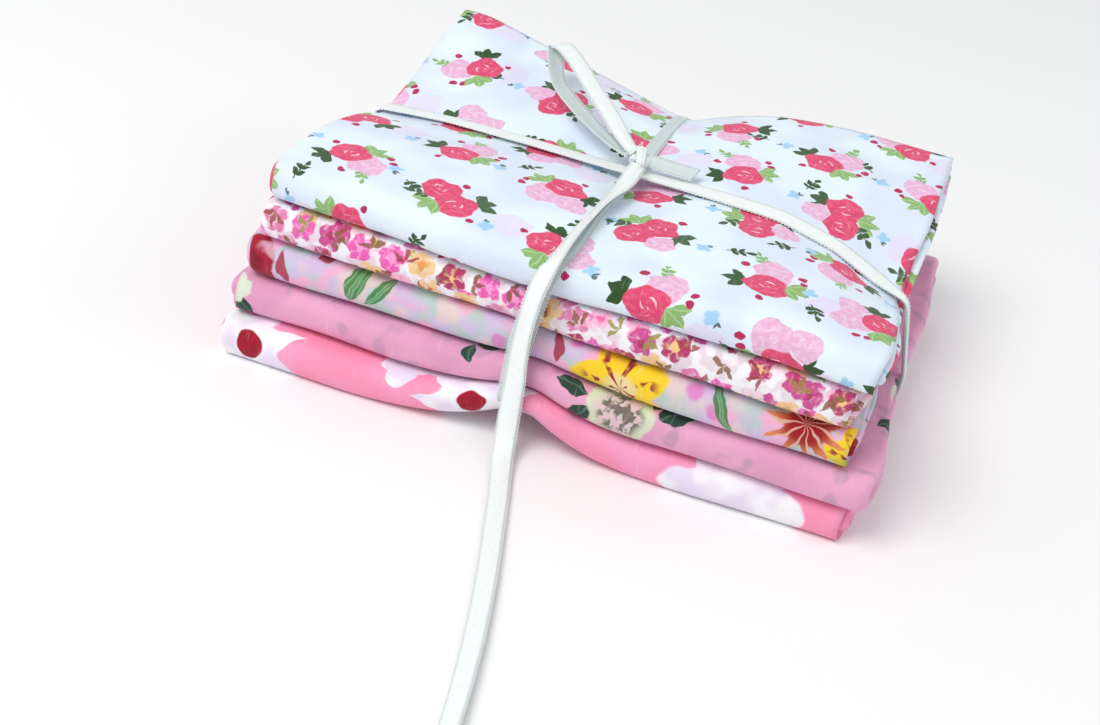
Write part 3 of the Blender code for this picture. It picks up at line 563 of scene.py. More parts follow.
def rosebud_finish(quarter, thread):
    """Ice-blue cotton with tossed rosebuds, leaves and berries."""
    chart = Finish("rosebud_cotton")
    place = chart.print_place(quarter.print_x, quarter.print_y)
    clouds = chart.blotches(place, 22.0, 1.0)
    colour = chart.paint(dye(222, 233, 248), dye(232, 246, 253), clouds.edge(0.35, 0.65))
    slanted = chart.turned(chart.wobbled(place, 3.0, 0.7), radians(12))
    between, luck, fate = chart.tossed(slanted.vectors("ADD", (13.5, 0.0, 0.0)), 27.0, 23.0, 1.6, 3.0)
    ghost, strokes = chart.rose(between, (1.2, 3.2), 4.6, 1.0)
    colour = chart.paint(colour, dye(232, 220, 244), ghost * 0.7 * luck.edge(0.45, 0.5))
    blue, reach, angle = chart.bloom(between, (-1.0, -2.6), 1.9, 4, 0.45, 0.2)
    colour = chart.paint(colour, dye(158, 208, 243), blue * 0.9)
    speck, rib = chart.fan(between, (0.5, -3.0), 0.9, 2, 1.7, 0.9, 0.9)
    colour = chart.paint(colour, dye(64, 84, 84), speck * 0.9)
    lone = chart.sprig(between, (4.2, 0.6), radians(35), 2, 1.7, 2.9, 1.5) * luck.edge(0.62, 0.58)
    colour = chart.paint(colour, dye(54, 86, 50), lone)
    cluster, luck, fate = chart.tossed(slanted, 27.0, 23.0, 2.3, 1.0)
    shows = fate.edge(0.50, 0.51)
    both_red = luck.edge(0.66, 0.67)
    fresh, rib = chart.fan(cluster, (-0.8, 4.0), radians(100), 3, 5.8, 3.0, 0.75)
    fern = chart.sprig(cluster, (-5.6, -4.0), radians(-128), 2, 1.7, 2.6, 1.4)
    fern = fern * (1.0 - both_red) * (1.0 - shows)
    colour = chart.paint(colour, dye(142, 184, 112), fresh.maths("MAXIMUM", fern))
    colour = chart.paint(colour, dye(190, 216, 168), fresh * rib.edge(0.24, 0.06) * 0.7)
    dark, rib = chart.fan(cluster, (4.6, -2.6), radians(-62), 3, 5.4, 2.8, 0.8)
    row = chart.sprig(cluster, (-3.2, 3.6), radians(152), 2, 1.8, 3.2, 1.7)
    dark = dark.maths("MAXIMUM", row * both_red)
    colour = chart.paint(colour, chart.paint(dye(44, 78, 36), dye(74, 104, 70), luck), dark)
    streaks = chart.blotches(cluster, 1.5, 1.0)
    pale, strokes = chart.rose(cluster, (-4.2, -0.8), 4.5, 0.7)
    pale_colour = chart.paint(dye(234, 180, 214), dye(240, 198, 226), streaks.edge(0.4, 0.65))
    red_colour = chart.paint(dye(222, 72, 112), dye(234, 96, 132), streaks.edge(0.42, 0.66) * 0.8)
    colour = chart.paint(colour, chart.paint(pale_colour, red_colour, both_red), pale)
    colour = chart.paint(colour, dye(250, 224, 240), strokes * 0.7)
    third, strokes = chart.rose(cluster, (0.4, -6.4), 3.5, 2.3)
    colour = chart.paint(colour, pale_colour, third * shows)
    colour = chart.paint(colour, dye(250, 226, 242), strokes * 0.6 * shows)
    red, strokes = chart.rose(cluster, (2.6, 1.4), 4.7, 1.6)
    colour = chart.paint(colour, red_colour, red)
    colour = chart.paint(colour, dye(254, 214, 228), strokes * 0.85)
    berries = chart.dot(cluster, (-7.6, 4.6), 1.0).maths("MAXIMUM", chart.dot(cluster, (-5.6, 6.0), 0.9))
    berries = berries * (1.0 - both_red)
    berries = berries.maths("MAXIMUM", chart.dot(cluster, (-1.8, -6.8), 1.0) * (1.0 - shows))
    berries = berries.maths("MAXIMUM", chart.dot(cluster, (8.6, 3.4), 0.95))
    colour = chart.paint(colour, dye(188, 40, 92), berries)
    return chart.cotton(place, colour, thread)


def ditsy_finish(quarter, thread):
    """White cotton crowded with small pink, magenta and peach flowers."""
    chart = Finish("ditsy_cotton")
    place = chart.print_place(quarter.print_x, quarter.print_y)
    brushed = chart.wobbled(place, 2.0, 0.9)
    colour = chart.paint(dye(234, 218, 228), dye(248, 244, 249), chart.blotches(place, 4.0).edge(0.4, 0.55))
    petals = (
        (0.00, dye(238, 98, 182)), (0.20, dye(208, 82, 150)), (0.34, dye(226, 130, 176)),
        (0.46, dye(248, 186, 216)), (0.56, dye(244, 204, 152)), (0.78, dye(248, 218, 232)), (0.90, dye(184, 62, 108)),
    )
    hearts = (
        (0.00, dye(252, 160, 214)), (0.20, dye(178, 60, 106)), (0.34, dye(250, 200, 226)),
        (0.46, dye(238, 110, 168)), (0.56, dye(228, 160, 92)), (0.78, dye(186, 176, 84)), (0.90, dye(250, 200, 140)),
    )
    for wide, high, radius, shift, seed in ((8.8, 7.4, 2.9, 3.3, 13.0), (7.4, 6.2, 3.3, 0.0, 11.0)):
        moved = brushed.vectors("ADD", (shift, shift * 0.6, 0.0))
        local, luck, fate = chart.tossed(moved, wide, high, 0.5, seed)
        mask, reach, angle = chart.bloom(local, (0.0, 0.0), radius, 5, 0.28, 0.09)
        petal = chart.node("ShaderNodeValToRGB", {"ramp": "CONSTANT", "stops": petals}, {0: luck})
        heart = chart.node("ShaderNodeValToRGB", {"ramp": "CONSTANT", "stops": hearts}, {0: luck})
        shade = chart.paint(petal, heart, (angle * 2.5).wave().size().edge(0.7, 1.0) * reach.edge(0.9, 0.3) * 0.6)
        shade = chart.paint(shade, dye(255, 240, 248), chart.blotches(local, 1.8, 1.0).edge(0.55, 0.7) * 0.4)
        colour = chart.paint(colour, shade, mask * fate.edge(0.18, 0.19))
        colour = chart.paint(colour, heart, reach.edge(0.34, 0.2) * mask * fate.edge(0.18, 0.19))
    leafy, luck, fate = chart.tossed(brushed.vectors("ADD", (2.6, 1.2, 0.0)), 8.2, 6.6, 0.6, 7.0)
    olive, rib = chart.fan(leafy, (-0.4, -0.2), 0.4, 4, 3.4, 1.4, 1.1)
    greens = chart.paint(dye(158, 148, 66), dye(136, 96, 60), luck.edge(0.45, 0.55))
    greens = chart.paint(greens, dye(176, 50, 84), rib.edge(0.5, 0.1) * fate.edge(0.6, 0.7))
    colour = chart.paint(colour, greens, olive * 0.9)
    return chart.cotton(place, colour, thread)


def garden_finish(quarter, thread):
    """Pale lilac cotton with large painted flowers in dark red and yellow, and green blades."""
    chart = Finish("garden_cotton")
    place = chart.print_place(quarter.print_x, quarter.print_y)
    brushed = chart.wobbled(place, 4.0, 0.9)
    colour = chart.paint(dye(186, 206, 202), dye(212, 194, 226), chart.blotches(place, 9.0, 1.0).edge(0.38, 0.6))
    beige = chart.blotches(place.vectors("ADD", (31.0, 7.0, 0.0)), 10.0, 1.0)
    colour = chart.paint(colour, dye(236, 208, 206), beige.edge(0.5, 0.7) * 0.8)
    pinks = chart.blotches(place.vectors("ADD", (11.0, 43.0, 0.0)), 8.0, 1.0)
    colour = chart.paint(colour, dye(244, 178, 212), pinks.edge(0.52, 0.7) * 0.9)
    repeat = chart.laid(brushed, 150.0, 52.0)
    for middle, radius in (((-36.0, -2.0), 2.0), ((-41.5, 1.0), 2.2), ((9.0, 2.5), 1.8), ((-8.0, -3.5), 1.4)):
        colour = chart.paint(colour, dye(226, 120, 196), chart.dot(repeat, middle, radius, 1.2) * 0.8)
    greens = (
        ((45.3, 4.8), radians(-110), 11.5, 4.8, 0.8), ((42.4, 4.8), radians(-124), 12.5, 3.2, -1.2),
        ((-47.0, 6.0), radians(-60), 15.0, 3.0, 1.0), ((58.0, 14.0), radians(30), 16.0, 4.0, 2.0),
        ((-28.0, 20.0), radians(200), 17.0, 4.4, -2.4), ((12.0, -22.0), radians(70), 16.0, 4.0, 2.0),
    )
    for base, heading, length, width, bend in greens:
        leaf, beside = chart.blade(repeat, base, heading, length, width, bend)
        stripes = (beside * 5.5).wave().edge(0.2, 0.8)
        colour = chart.paint(colour, chart.paint(dye(42, 126, 54), dye(112, 172, 114), stripes), leaf * 0.9)
    reds = (((71.5, 2.6), 8.0, 3), ((4.0, 22.0), 10.0, 6))
    for middle, radius, petals in reds:
        mask, reach, angle = chart.bloom(repeat, middle, radius, petals, 0.24, 0.05)
        folds = (angle * petals + reach * 3.0).wave().edge(0.3, 0.8)
        shade = chart.paint(dye(168, 26, 52), dye(236, 196, 216), folds * reach.edge(0.45, 0.7) * 0.6)
        colour = chart.paint(colour, shade, mask)
        colour = chart.paint(colour, dye(130, 14, 36), reach.edge(0.5, 0.3) * 0.8)
    for base, heading, length in (((60.5, 5.5), radians(-70), 9.0), ((-3.0, -5.0), radians(100), 8.5),
                                  ((50.0, -7.0), radians(40), 6.5)):
        petal, beside = chart.blade(repeat, base, heading, length, 3.2, 0.8)
        colour = chart.paint(colour, dye(168, 30, 62), petal * 0.9)
    yellows = (((-20.0, 3.5), 11.5, 5), ((-73.5, 2.0), 8.0, 5), ((30.0, -24.0), 11.0, 6))
    for middle, radius, petals in yellows:
        mask, reach, angle = chart.bloom(repeat, middle, radius, petals, 0.34, 0.04)
        strokes = (angle * petals * 1.4 + reach * 2.5).wave().edge(0.35, 0.8)
        strokes = strokes * chart.blotches(repeat, 3.0, 1.0).edge(0.40, 0.52)
        shade = chart.paint(dye(250, 212, 44), dye(208, 204, 60), (angle + 0.6).wave().edge(0.55, 0.95))
        shade = chart.paint(shade, dye(240, 222, 190), reach.edge(0.42, 0.2) * 0.7)
        shade = chart.paint(shade, dye(158, 30, 50), strokes * reach.edge(0.92, 0.6))
        colour = chart.paint(colour, shade, mask)
    mask, reach, angle = chart.bloom(repeat, (-61.0, -2.0), 10.0, 11, 0.5, 0.06, True)
    shade = chart.paint(dye(160, 22, 34), dye(232, 140, 92), reach.edge(0.3, 0.85))
    colour = chart.paint(colour, chart.paint(shade, dye(244, 214, 190), (angle * 11.0).wave().edge(0.5, 0.9) * 0.6), mask)
    return chart.cotton(place, colour, thread)


def cream_rose_finish(quarter, thread):
    """Dusty pink cotton with widely spaced cream roses."""
    chart = Finish("cream_rose_cotton")
    place = chart.print_place(quarter.print_x, quarter.print_y)
    colour = chart.paint(dye(236, 170, 204), dye(226, 160, 195), chart.blotches(place, 16.0, 1.0).edge(0.4, 0.65))
    grey = chart.blotches(place.vectors("ADD", (5.0, 2.0, 0.0)), 7.0, 1.0)
    colour = chart.paint(colour, dye(196, 152, 180), grey.edge(0.62, 0.74) * 0.7)
    repeat = chart.laid(chart.wobbled(place, 3.0, 0.8), 170.0, 130.0)
    leaves = (
        ((13.5, 0.5), radians(120), 8.0, 5.0), ((12.0, -1.5), radians(190), 8.5, 5.0),
        ((28.0, -2.0), radians(-35), 9.5, 6.0), ((27.0, -3.5), radians(-80), 6.5, 5.0),
        ((-70.4, 6.6), radians(-134), 7.5, 4.6), ((-70.8, 6.0), radians(178), 6.8, 4.0),
        ((-16.5, -5.5), radians(85), 6.0, 3.4), ((-16.0, -6.0), radians(5), 6.0, 2.6),
        ((82.0, -30.0), radians(150), 9.0, 5.0), ((76.0, -48.0), radians(20), 9.0, 5.0),
        ((-50.0, -40.0), radians(30), 9.0, 5.0), ((-36.0, -44.0), radians(-50), 9.0, 5.0),
    )
    for base, heading, length, width in leaves:
        leaf, beside = chart.blade(repeat, base, heading, length, width, 0.6)
        colour = chart.paint(colour, chart.paint(dye(42, 70, 58), dye(104, 138, 116), beside.edge(0.4, 0.1) * 0.5), leaf)
    roses = (((20.0, 0.0), 7.6), ((-43.0, -38.0), 8.0), ((84.0, -40.0), 8.0), ((2.0, 52.0), 8.6), ((-60.0, 46.0), 8.0))
    for middle, radius in roses:
        mask, strokes = chart.rose(repeat, middle, radius, 0.6)
        reach = repeat.vectors("DISTANCE", (*middle, 0.0), output="Value") / radius
        tone = chart.blotches(repeat, 2.6, 2.0)
        cream = chart.paint(dye(216, 226, 196), dye(228, 196, 206), tone.edge(0.42, 0.6) * reach.edge(1.0, 0.6))
        cream = chart.paint(cream, dye(104, 84, 84), tone.edge(0.56, 0.42) * reach.edge(0.80, 0.55) * 0.9)
        colour = chart.paint(colour, cream, mask)
        colour = chart.paint(colour, dye(150, 128, 124), strokes * 0.7)
    bud, reach, angle = chart.bloom(repeat, (-75.0, -1.0), 3.8, 4, 0.3, 0.12)
    colour = chart.paint(colour, dye(222, 232, 212), bud)
    return chart.cotton(place, colour, thread)


def coral_finish(quarter, thread):
    """Coral pink cotton with large white flowers that have crimson middles."""
    chart = Finish("coral_cotton")
    place = chart.print_place(quarter.print_x, quarter.print_y)
    colour = chart.paint(dye(252, 152, 186), dye(249, 163, 200), chart.blotches(place, 18.0, 1.0).edge(0.4, 0.65))
    repeat = chart.laid(chart.wobbled(place, 7.0, 1.6), 183.0, 60.0)
    white = chart.paint(dye(252, 250, 254), dye(236, 226, 246), chart.blotches(place, 8.0, 1.0).edge(0.35, 0.65))
    flowers = (
        ((70.5, 1.4), 14.5, 7, 0.42, True), ((15.0, 2.4), 14.5, 7, 0.42, True), ((-46.0, 3.5), 17.0, 6, 0.38, False),
        ((33.0, -6.0), 6.4, 4, 0.4, False), ((24.0, -6.6), 5.0, 3, 0.4, False), ((-88.0, 22.0), 13.0, 6, 0.4, False),
        ((44.0, 26.0), 14.0, 6, 0.4, False), ((-16.0, -28.0), 14.0, 7, 0.42, True),
    )
    for middle, radius, petals, notch, pointed in flowers:
        mask, reach, angle = chart.bloom(repeat, middle, radius, petals, notch, 0.03, pointed)
        colour = chart.paint(colour, white, mask)
    for middle in ((70.4, 1.4), (15.4, 2.6), (-88.0, 22.0), (-16.0, -28.0)):
        eye = chart.dot(repeat, middle, 3.4, 0.5)
        colour = chart.paint(colour, chart.paint(dye(182, 22, 52), dye(138, 12, 36), chart.blotches(repeat, 2.0)), eye)
    return chart.cotton(place, colour, thread)


PRINTS = (rosebud_finish, ditsy_finish, garden_finish, cream_rose_finish, coral_finish)


def satin_finish(colour):
    """Cream-white satin with fine threads along the ribbon, bright in front and dull behind, the dull back painted
    darker as shade.
    """
    chart = Finish("picot_satin")
    flat = chart.print_place(0.0, 0.0)
    across, along = flat.parts()
    dull = across.maths("GREATER_THAN", BACK_PLACE / 2)
    across = across - dull * BACK_PLACE
    place = chart.vector(across, along)
    fine = chart.blotches(place.vectors("MULTIPLY", (1.0, 0.10, 1.0)), 0.16, 2.0)
    broad = chart.blotches(place.vectors("MULTIPLY", (1.0, 0.35, 1.0)), 2.2, 1.0)
    ribs = (along * (2 * pi / 0.55)).wave()
    rim = across.size().edge(1.7, 2.0) - across.size().edge(2.3, 2.4)
    # Painted shade: the dull back gets a darker copy of the satin colour, so that faces seen from behind look grey as
    # in shade; its matte weave is given by the roughness below.
    back = (colour[0] * 0.76, colour[1] * 0.80, colour[2] * 0.81, 1.0)
    base = chart.paint((*colour, 1.0), back, dull)
    shade = chart.node("ShaderNodeMix", {"data_type": "RGBA", "blend_type": "MULTIPLY"},
                       {0: fine.edge(0.45, 0.75) * 0.30 + (rim * 0.5 + dull * 0.3) * ribs.edge(-0.2, 0.6),
                        6: base, 7: (0.74, 0.76, 0.74, 1.0)}, 2)
    relief = fine * 0.6 + ribs * 0.12 + (rim + dull * 0.6) * ribs * 0.8
    threads = chart.node("ShaderNodeBump", {}, {"Strength": 0.35, "Distance": 0.00008, "Height": relief}, "Normal")
    bends = chart.node("ShaderNodeBump", {}, {"Strength": 0.35, "Distance": 0.0004, "Height": broad,
                                              "Normal": threads}, "Normal")
    chart.tree.links.new(shade.socket, chart.shader.inputs["Base Color"])
    chart.tree.links.new((fine * 0.16 + rim * 0.2 + dull * 0.25 + 0.26).socket, chart.shader.inputs["Roughness"])
    chart.tree.links.new(bends.socket, chart.shader.inputs["Normal"])
    chart.shader.inputs["Sheen Weight"].default_value = 0.2
    chart.shader.inputs["Sheen Roughness"].default_value = 0.4
    chart.shader.inputs["Specular IOR Level"].default_value = 0.6
    return chart.material


def floor_finish(colour):
    """Plain pale paper for the floor."""
    chart = Finish("pale_floor")
    chart.shader.inputs["Base Color"].default_value = (*colour, 1.0)
    chart.shader.inputs["Roughness"].default_value = 0.9
    chart.shader.inputs["Specular IOR Level"].default_value = 0.1
    return chart.material


def table_value(rows, along):
    """Depths at places along a table of sags, partly eased between its rows."""
    places = np.array([row.along for row in rows])
    depths = np.array([row.depth for row in rows])
    index = np.clip(np.searchsorted(places, along) - 1, 0, len(rows) - 2)
    part = np.clip((along - places[index]) / (places[index + 1] - places[index]), 0.0, 1.0)
    part = part + SAG_EASING * (part * part * (3.0 - 2.0 * part) - part)
    return depths[index] + (depths[index + 1] - depths[index]) * part


def fade(distance, reach, power):
    """One beside the ribbon, falling to nothing at the reach."""
    beyond = np.maximum(0.0, np.abs(distance) - LEVEL_HALF)
    return np.maximum(0.0, 1.0 - beyond / reach) ** power


def long_run_y(x):
    """Plan line of the ribbon run along the stack."""
    return LONG_RUN_Y + LONG_RUN_SLOPE * x


def short_run_x(y, height=1.0):
    """Plan line of the ribbon run across the stack, at a share of its height."""
    top = SHORT_RUN_TOP_X + SHORT_RUN_TOP_SLOPE * y
    bottom = SHORT_RUN_BOTTOM_X + SHORT_RUN_BOTTOM_SLOPE * y
    return top * height + bottom * (1.0 - height)


def corner_bump(x, y, corner_x, spread):
    """A soft share that is one at a back corner of the top."""
    return np.exp(-((x - corner_x) ** 2 + (y - FOLDED_WIDTH / 2) ** 2) / spread ** 2)


def top_sag(x, y):
    """How far the ribbon draws the top surface down at plan points."""
    beside_long = y - long_run_y(x)
    beside_short = x - short_run_x(y)
    long_share = np.where((beside_long > 0) & (x < 0),
                          fade(beside_long, FLAT_REACH_LONG, FLAT_POWER),
                          fade(beside_long, ROUND_REACH, ROUND_POWER))
    short_share = np.where((beside_short < 0) & (y > 0),
                           fade(beside_short, FLAT_REACH_SHORT, FLAT_POWER),
                           fade(beside_short, ROUND_REACH, ROUND_POWER))
    along = table_value(LONG_SAGS, x) * long_share
    across = table_value(SHORT_SAGS, y) * short_share
    both = (along ** SAG_BLEND + across ** SAG_BLEND) ** (1.0 / SAG_BLEND)
    rise = BACK_LEFT_RISE * corner_bump(x, y, -FOLDED_LENGTH / 2, BACK_LEFT_SPREAD)
    fall = BACK_RIGHT_FALL * corner_bump(x, y, FOLDED_LENGTH / 2, BACK_RIGHT_SPREAD)
    return both - rise + fall


def bottom_lift(x, y):
    """How far the ribbon lifts the underside at plan points."""
    side_share = np.exp((np.abs(x) - LIFT_END_X) / LIFT_FADE)
    face_share = np.exp((np.abs(y) - LIFT_END_Y) / LIFT_FADE)
    long_reach = LIFT_REACH_MIDDLE + LIFT_REACH_END * side_share
    short_reach = LIFT_REACH_MIDDLE + LIFT_REACH_END * face_share
    along = (LONG_LIFT_MIDDLE + LONG_LIFT_END * side_share) * fade(
        y - long_run_y(x), long_reach, LIFT_POWER)
    across = (SHORT_LIFT_MIDDLE + SHORT_LIFT_END * face_share) * fade(
        x - short_run_x(y, 0.0), short_reach, LIFT_POWER)
    return (along ** LIFT_BLEND + across ** LIFT_BLEND) ** (1.0 / LIFT_BLEND)


def settle(x, y, z):
    """Places of points of the flat, untied stack once the ribbon is drawn tight."""
    height = np.clip(z / STACK_HEIGHT, 0.0, 1.0)
    sag = top_sag(x, y) * height ** SAG_HEIGHT_POWER
    lift = bottom_lift(x, y) * (1.0 - height) ** LIFT_HEIGHT_POWER
    side = np.minimum(DRAWN_EDGE_LIMIT, np.abs(x) / (FOLDED_LENGTH / 2)) ** DRAWN_EDGE_POWER
    face = np.minimum(DRAWN_EDGE_LIMIT, np.abs(y) / (FOLDED_WIDTH / 2)) ** DRAWN_EDGE_POWER
    in_x = np.where(x < 0, LEFT_DRAWN_IN, SIDE_DRAWN_IN) * side * fade(y - long_run_y(x), DRAWN_REACH, DRAWN_POWER)
    in_y = FACE_DRAWN_IN * face * fade(x - short_run_x(y, 0.5), DRAWN_REACH, DRAWN_POWER)
    return np.stack([x - np.sign(x) * in_x - BOX_MIDDLE_X, y - np.sign(y) * in_y - BOX_MIDDLE_Y,
                     z - sag + lift], axis=-1)


def quarter_base(index):
    """Height of the underside of a quarter in the untied stack; 0 is the top one."""
    return (QUARTERS_IN_STACK - 1 - index) * (QUARTER_HEIGHT + QUARTER_GAP)


def wave(quarter, x):
    """Small unevenness of the front fold along the quarter."""
    slow = np.sin(x / LONG_WAVE + quarter.wave)
    quick = np.sin(x / SHORT_WAVE + 2.0 * quarter.wave)
    return FOLD_WAVE * (slow + SHORT_WAVE_SHARE * quick)


def lengths_along(points):
    """How far along a line of points each of them is."""
    steps = np.linalg.norm(np.diff(points, axis=0), axis=1)
    return np.concatenate([[0.0], np.cumsum(steps)])


def side_folds(quarter, thickness):
    """The cloth's line through its four layers across X, from one free end to the other.

    Gives the X, the level in the bundle, the direction of the cloth's face as (X, level), the
    length along the cloth, and which end fold each point wanders with.
    """
    roll = quarter.roll
    outer = LAYER_PITCH * 3.0
    inner = LAYER_PITCH
    reach = LAYER_PITCH / 2 + thickness / 2
    near = (quarter.right if roll > 0 else -quarter.left) - reach
    far = (-quarter.left if roll > 0 else quarter.right) - reach
    rows = []

    def ply(start, end, level, count, first_id, last_id):
        for step in range(count):
            share = step / (count - 1)
            rows.append((start + (end - start) * share, level, first_id if share < 0.5 else last_id))

    def turn(x, start_level, end_level, outward, count, end_id):
        middle = (start_level + end_level) / 2
        radius = (start_level - end_level) / 2
        for step in range(1, count):
            angle = pi * step / count
            rows.append((x + outward * abs(radius) * sin(angle), middle + radius * cos(angle), end_id))

    big = near - outer
    ply(-far + 0.0010, big, outer, 74, 0, 1)
    turn(big, outer, -outer, 1, 16, 1)
    ply(big, -far + inner, -outer, 30, 1, 2)
    turn(-far + inner, -outer, -inner, -1, 8, 2)
    ply(-far + inner, near - outer - 0.0004, -inner, 30, 2, 3)
    turn(near - outer - 0.0004, -inner, inner, 1, 8, 3)
    ply(near - outer - 0.0004, -far + 0.0024, inner, 30, 3, 4)
    line = np.array([row[:2] for row in rows])
    along = lengths_along(line)
    tangent = np.gradient(line, axis=0)
    tangent /= np.linalg.norm(tangent, axis=1)[:, None]
    face = np.stack([-tangent[:, 1], tangent[:, 0]], axis=1)
    ends = np.array([row[2] for row in rows])
    return line[:, 0] * roll, line[:, 1], face[:, 0] * roll, face[:, 1], along, ends


def front_folds():
    """The bundle's line across Y, through both of its layers, from free end to free end.

    Gives for each row the kind of place, its Y or its angle round the front fold, the layer's
    offset in the bundle, and the length along the outer side of the cloth.
    """
    start = -FOLDED_WIDTH / 2 + PASS_THICKNESS / 2 + FRONT_FOLD_DEPTH
    back = FOLDED_WIDTH / 2
    half = LAYER_PITCH / 2
    rows = []

    def run(first, last, side, offset, count):
        for step in range(count):
            rows.append((side, first + (last - first) * step / (count - 1), 0.0, offset))

    def front(first, last, offset, count):
        for step in range(1, count):
            rows.append((0.0, start, first + (last - first) * step / count, offset))

    run(back - TOP_END_INSET, start, 1.0, half, 64)
    front(0.0, pi, half, 22)
    run(start, back - half - 0.0004, -1.0, half, 36)
    for step in range(1, 6):
        angle = pi * step / 6
        rows.append((-1.0, back - half - 0.0004 + half * sin(angle), 0.0, half * cos(angle)))
    run(back - half - 0.0004, start, -1.0, -half, 26)
    front(pi, 0.0, -half, 14)
    run(start, back - INNER_END_INSET, 1.0, -half, 26)
    return np.array(rows)


def fold_profile(rows, level):
    """Y and height from the quarter's middle of rows at levels in the bundle."""
    side, y, angle, offset = (rows[:, column][:, None] for column in range(4))
    power = 2.0 / FRONT_FOLD_ROUNDNESS
    depth = FRONT_FOLD_DEPTH - (1.5 * PASS_PITCH - BUNDLE_MIDDLE) + level
    out = np.sin(angle) ** power
    rise = np.abs(np.cos(angle)) ** power * np.sign(np.cos(angle))
    turning = side == 0.0
    place_y = np.where(turning, y - depth * out, y)
    place_z = np.where(turning, (BUNDLE_MIDDLE + level) * rise, side * (BUNDLE_MIDDLE + level))
    return place_y, place_z


def shell(points, thickness, closed_rows=False):
    """Vertices and faces of a sheet of points given a thickness, with closed edges."""
    down = np.gradient(points, axis=0)
    if closed_rows:
        down = (np.roll(points, -1, axis=0) - np.roll(points, 1, axis=0)) / 2
    right = np.gradient(points, axis=1)
    normal = np.cross(right, down)
    normal /= np.maximum(np.linalg.norm(normal, axis=2), 1e-12)[:, :, None]
    height, width = points.shape[:2]
    count = height * width
    vertices = np.concatenate([(points + normal * thickness / 2).reshape(-1, 3),
                               (points - normal * thickness / 2).reshape(-1, 3)])
    index = np.arange(count).reshape(height, width)
    if closed_rows:
        index = np.vstack([index, index[:1]])
    a, b = index[:-1, :-1].ravel(), index[:-1, 1:].ravel()
    c, d = index[1:, 1:].ravel(), index[1:, :-1].ravel()
    faces = [np.stack([a, b, c, d], axis=1), np.stack([d, c, b, a], axis=1) + count]
    edges = [(index[:-1, 0], index[1:, 0]), (index[1:, -1], index[:-1, -1])]
    if not closed_rows:
        edges += [(index[0, 1:], index[0, :-1]), (index[-1, :-1], index[-1, 1:])]
    for first, second in edges:
        faces.append(np.stack([first, second, second + count, first + count], axis=1))
    return vertices, np.concatenate(faces)


def mesh_object(name, vertices, faces, flat_places, material):
    """An object of a mesh with its place on the flat cloth as its UV map."""
    mesh = bpy.data.meshes.new(name)
    mesh.from_pydata(vertices.tolist(), [], faces.tolist())
    chart = mesh.uv_layers.new(name="cloth")
    corners = np.empty(len(mesh.loops), dtype=np.int64)
    mesh.loops.foreach_get("vertex_index", corners)
    chart.data.foreach_set("uv", flat_places[corners].astype(np.float32).ravel())
    mesh.materials.append(material)
    mesh.shade_smooth()
    made = bpy.data.objects.new(name, mesh)
    bpy.context.scene.collection.objects.link(made)
    return made


def build_quarter(index, quarter, sizes, material):
    """One fat quarter: a whole cloth folded in four each way and settled in the stack."""
    x, level, face_x, face_level, along_x, ends = side_folds(quarter, sizes.thickness)
    rows = front_folds()
    offset = rows[:, 3][:, None]
    plan_x = x[None, :] + face_x[None, :] * offset
    levels = level[None, :] + face_level[None, :] * offset
    y, z = fold_profile(rows, levels)
    outer_y, outer_z = fold_profile(rows, np.array([[BUNDLE_HALF]]))
    along_y = lengths_along(np.concatenate([outer_y, outer_z], axis=1))
    half_length = np.where(x > 0, quarter.right, -quarter.left)
    edge = np.clip(np.abs(x) / half_length, 0.0, 1.0) ** 10
    phase = ends * 1.9 + quarter.wave * 2.0
    wander = np.sin(along_y[:, None] * 70.0 + phase) + 0.6 * np.sin(along_y[:, None] * 173.0 + 2.0 * phase)
    reach = sizes.edge_wander * edge[None, :] * wander
    front_near = np.clip((-y - FOLDED_WIDTH / 2 + 0.010) / 0.010, 0.0, 1.0) ** 2
    reach = reach - sizes.corner_rounding * edge[None, :] * front_near - 0.0004 * edge[None, :]
    plan_x = plan_x + np.sign(x)[None, :] * reach
    front_share = np.maximum(0.0, -y / (FOLDED_WIDTH / 2)) ** WAVE_EDGE_POWER
    shifted = y + wave(quarter, plan_x) * front_share
    plan_y = shifted + radians(quarter.turn) * plan_x - quarter.forward
    middle = quarter_base(index) + QUARTER_HEIGHT / 2
    ripple = (np.sin(plan_x * 95.0 + quarter.wave) * np.sin(plan_y * 120.0 + 2.0 * quarter.wave)
              + 0.6 * np.sin(plan_x * 231.0 + plan_y * 160.0 + quarter.wave))
    height = np.maximum(middle + z * sizes.loft + 0.00010 * ripple, sizes.thickness / 2 + 0.00005)
    points = settle(plan_x, plan_y, height)
    vertices, faces = shell(points, sizes.thickness)
    flat_x = np.broadcast_to(along_x[None, :], plan_x.shape)
    flat_y = np.broadcast_to(along_y[:, None], plan_x.shape)
    flat = np.stack([flat_x, flat_y], axis=-1).reshape(-1, 2)
    return mesh_object(SHEET_NAMES[index], vertices, faces, np.concatenate([flat, flat]), material)


def hull_of(points):
    """Convex hull of flat points, counterclockwise."""
    ordered = sorted(set(points))

    def half(sequence):
        chain = []
        for point in sequence:
            while len(chain) > 1:
                (ax, ay), (bx, by) = chain[-2], chain[-1]
                if (bx - ax) * (point[1] - ay) - (by - ay) * (point[0] - ax) > 1e-12:
                    break
                chain.pop()
            chain.append(point)
        return chain[:-1]

    return half(ordered) + half(list(reversed(ordered)))


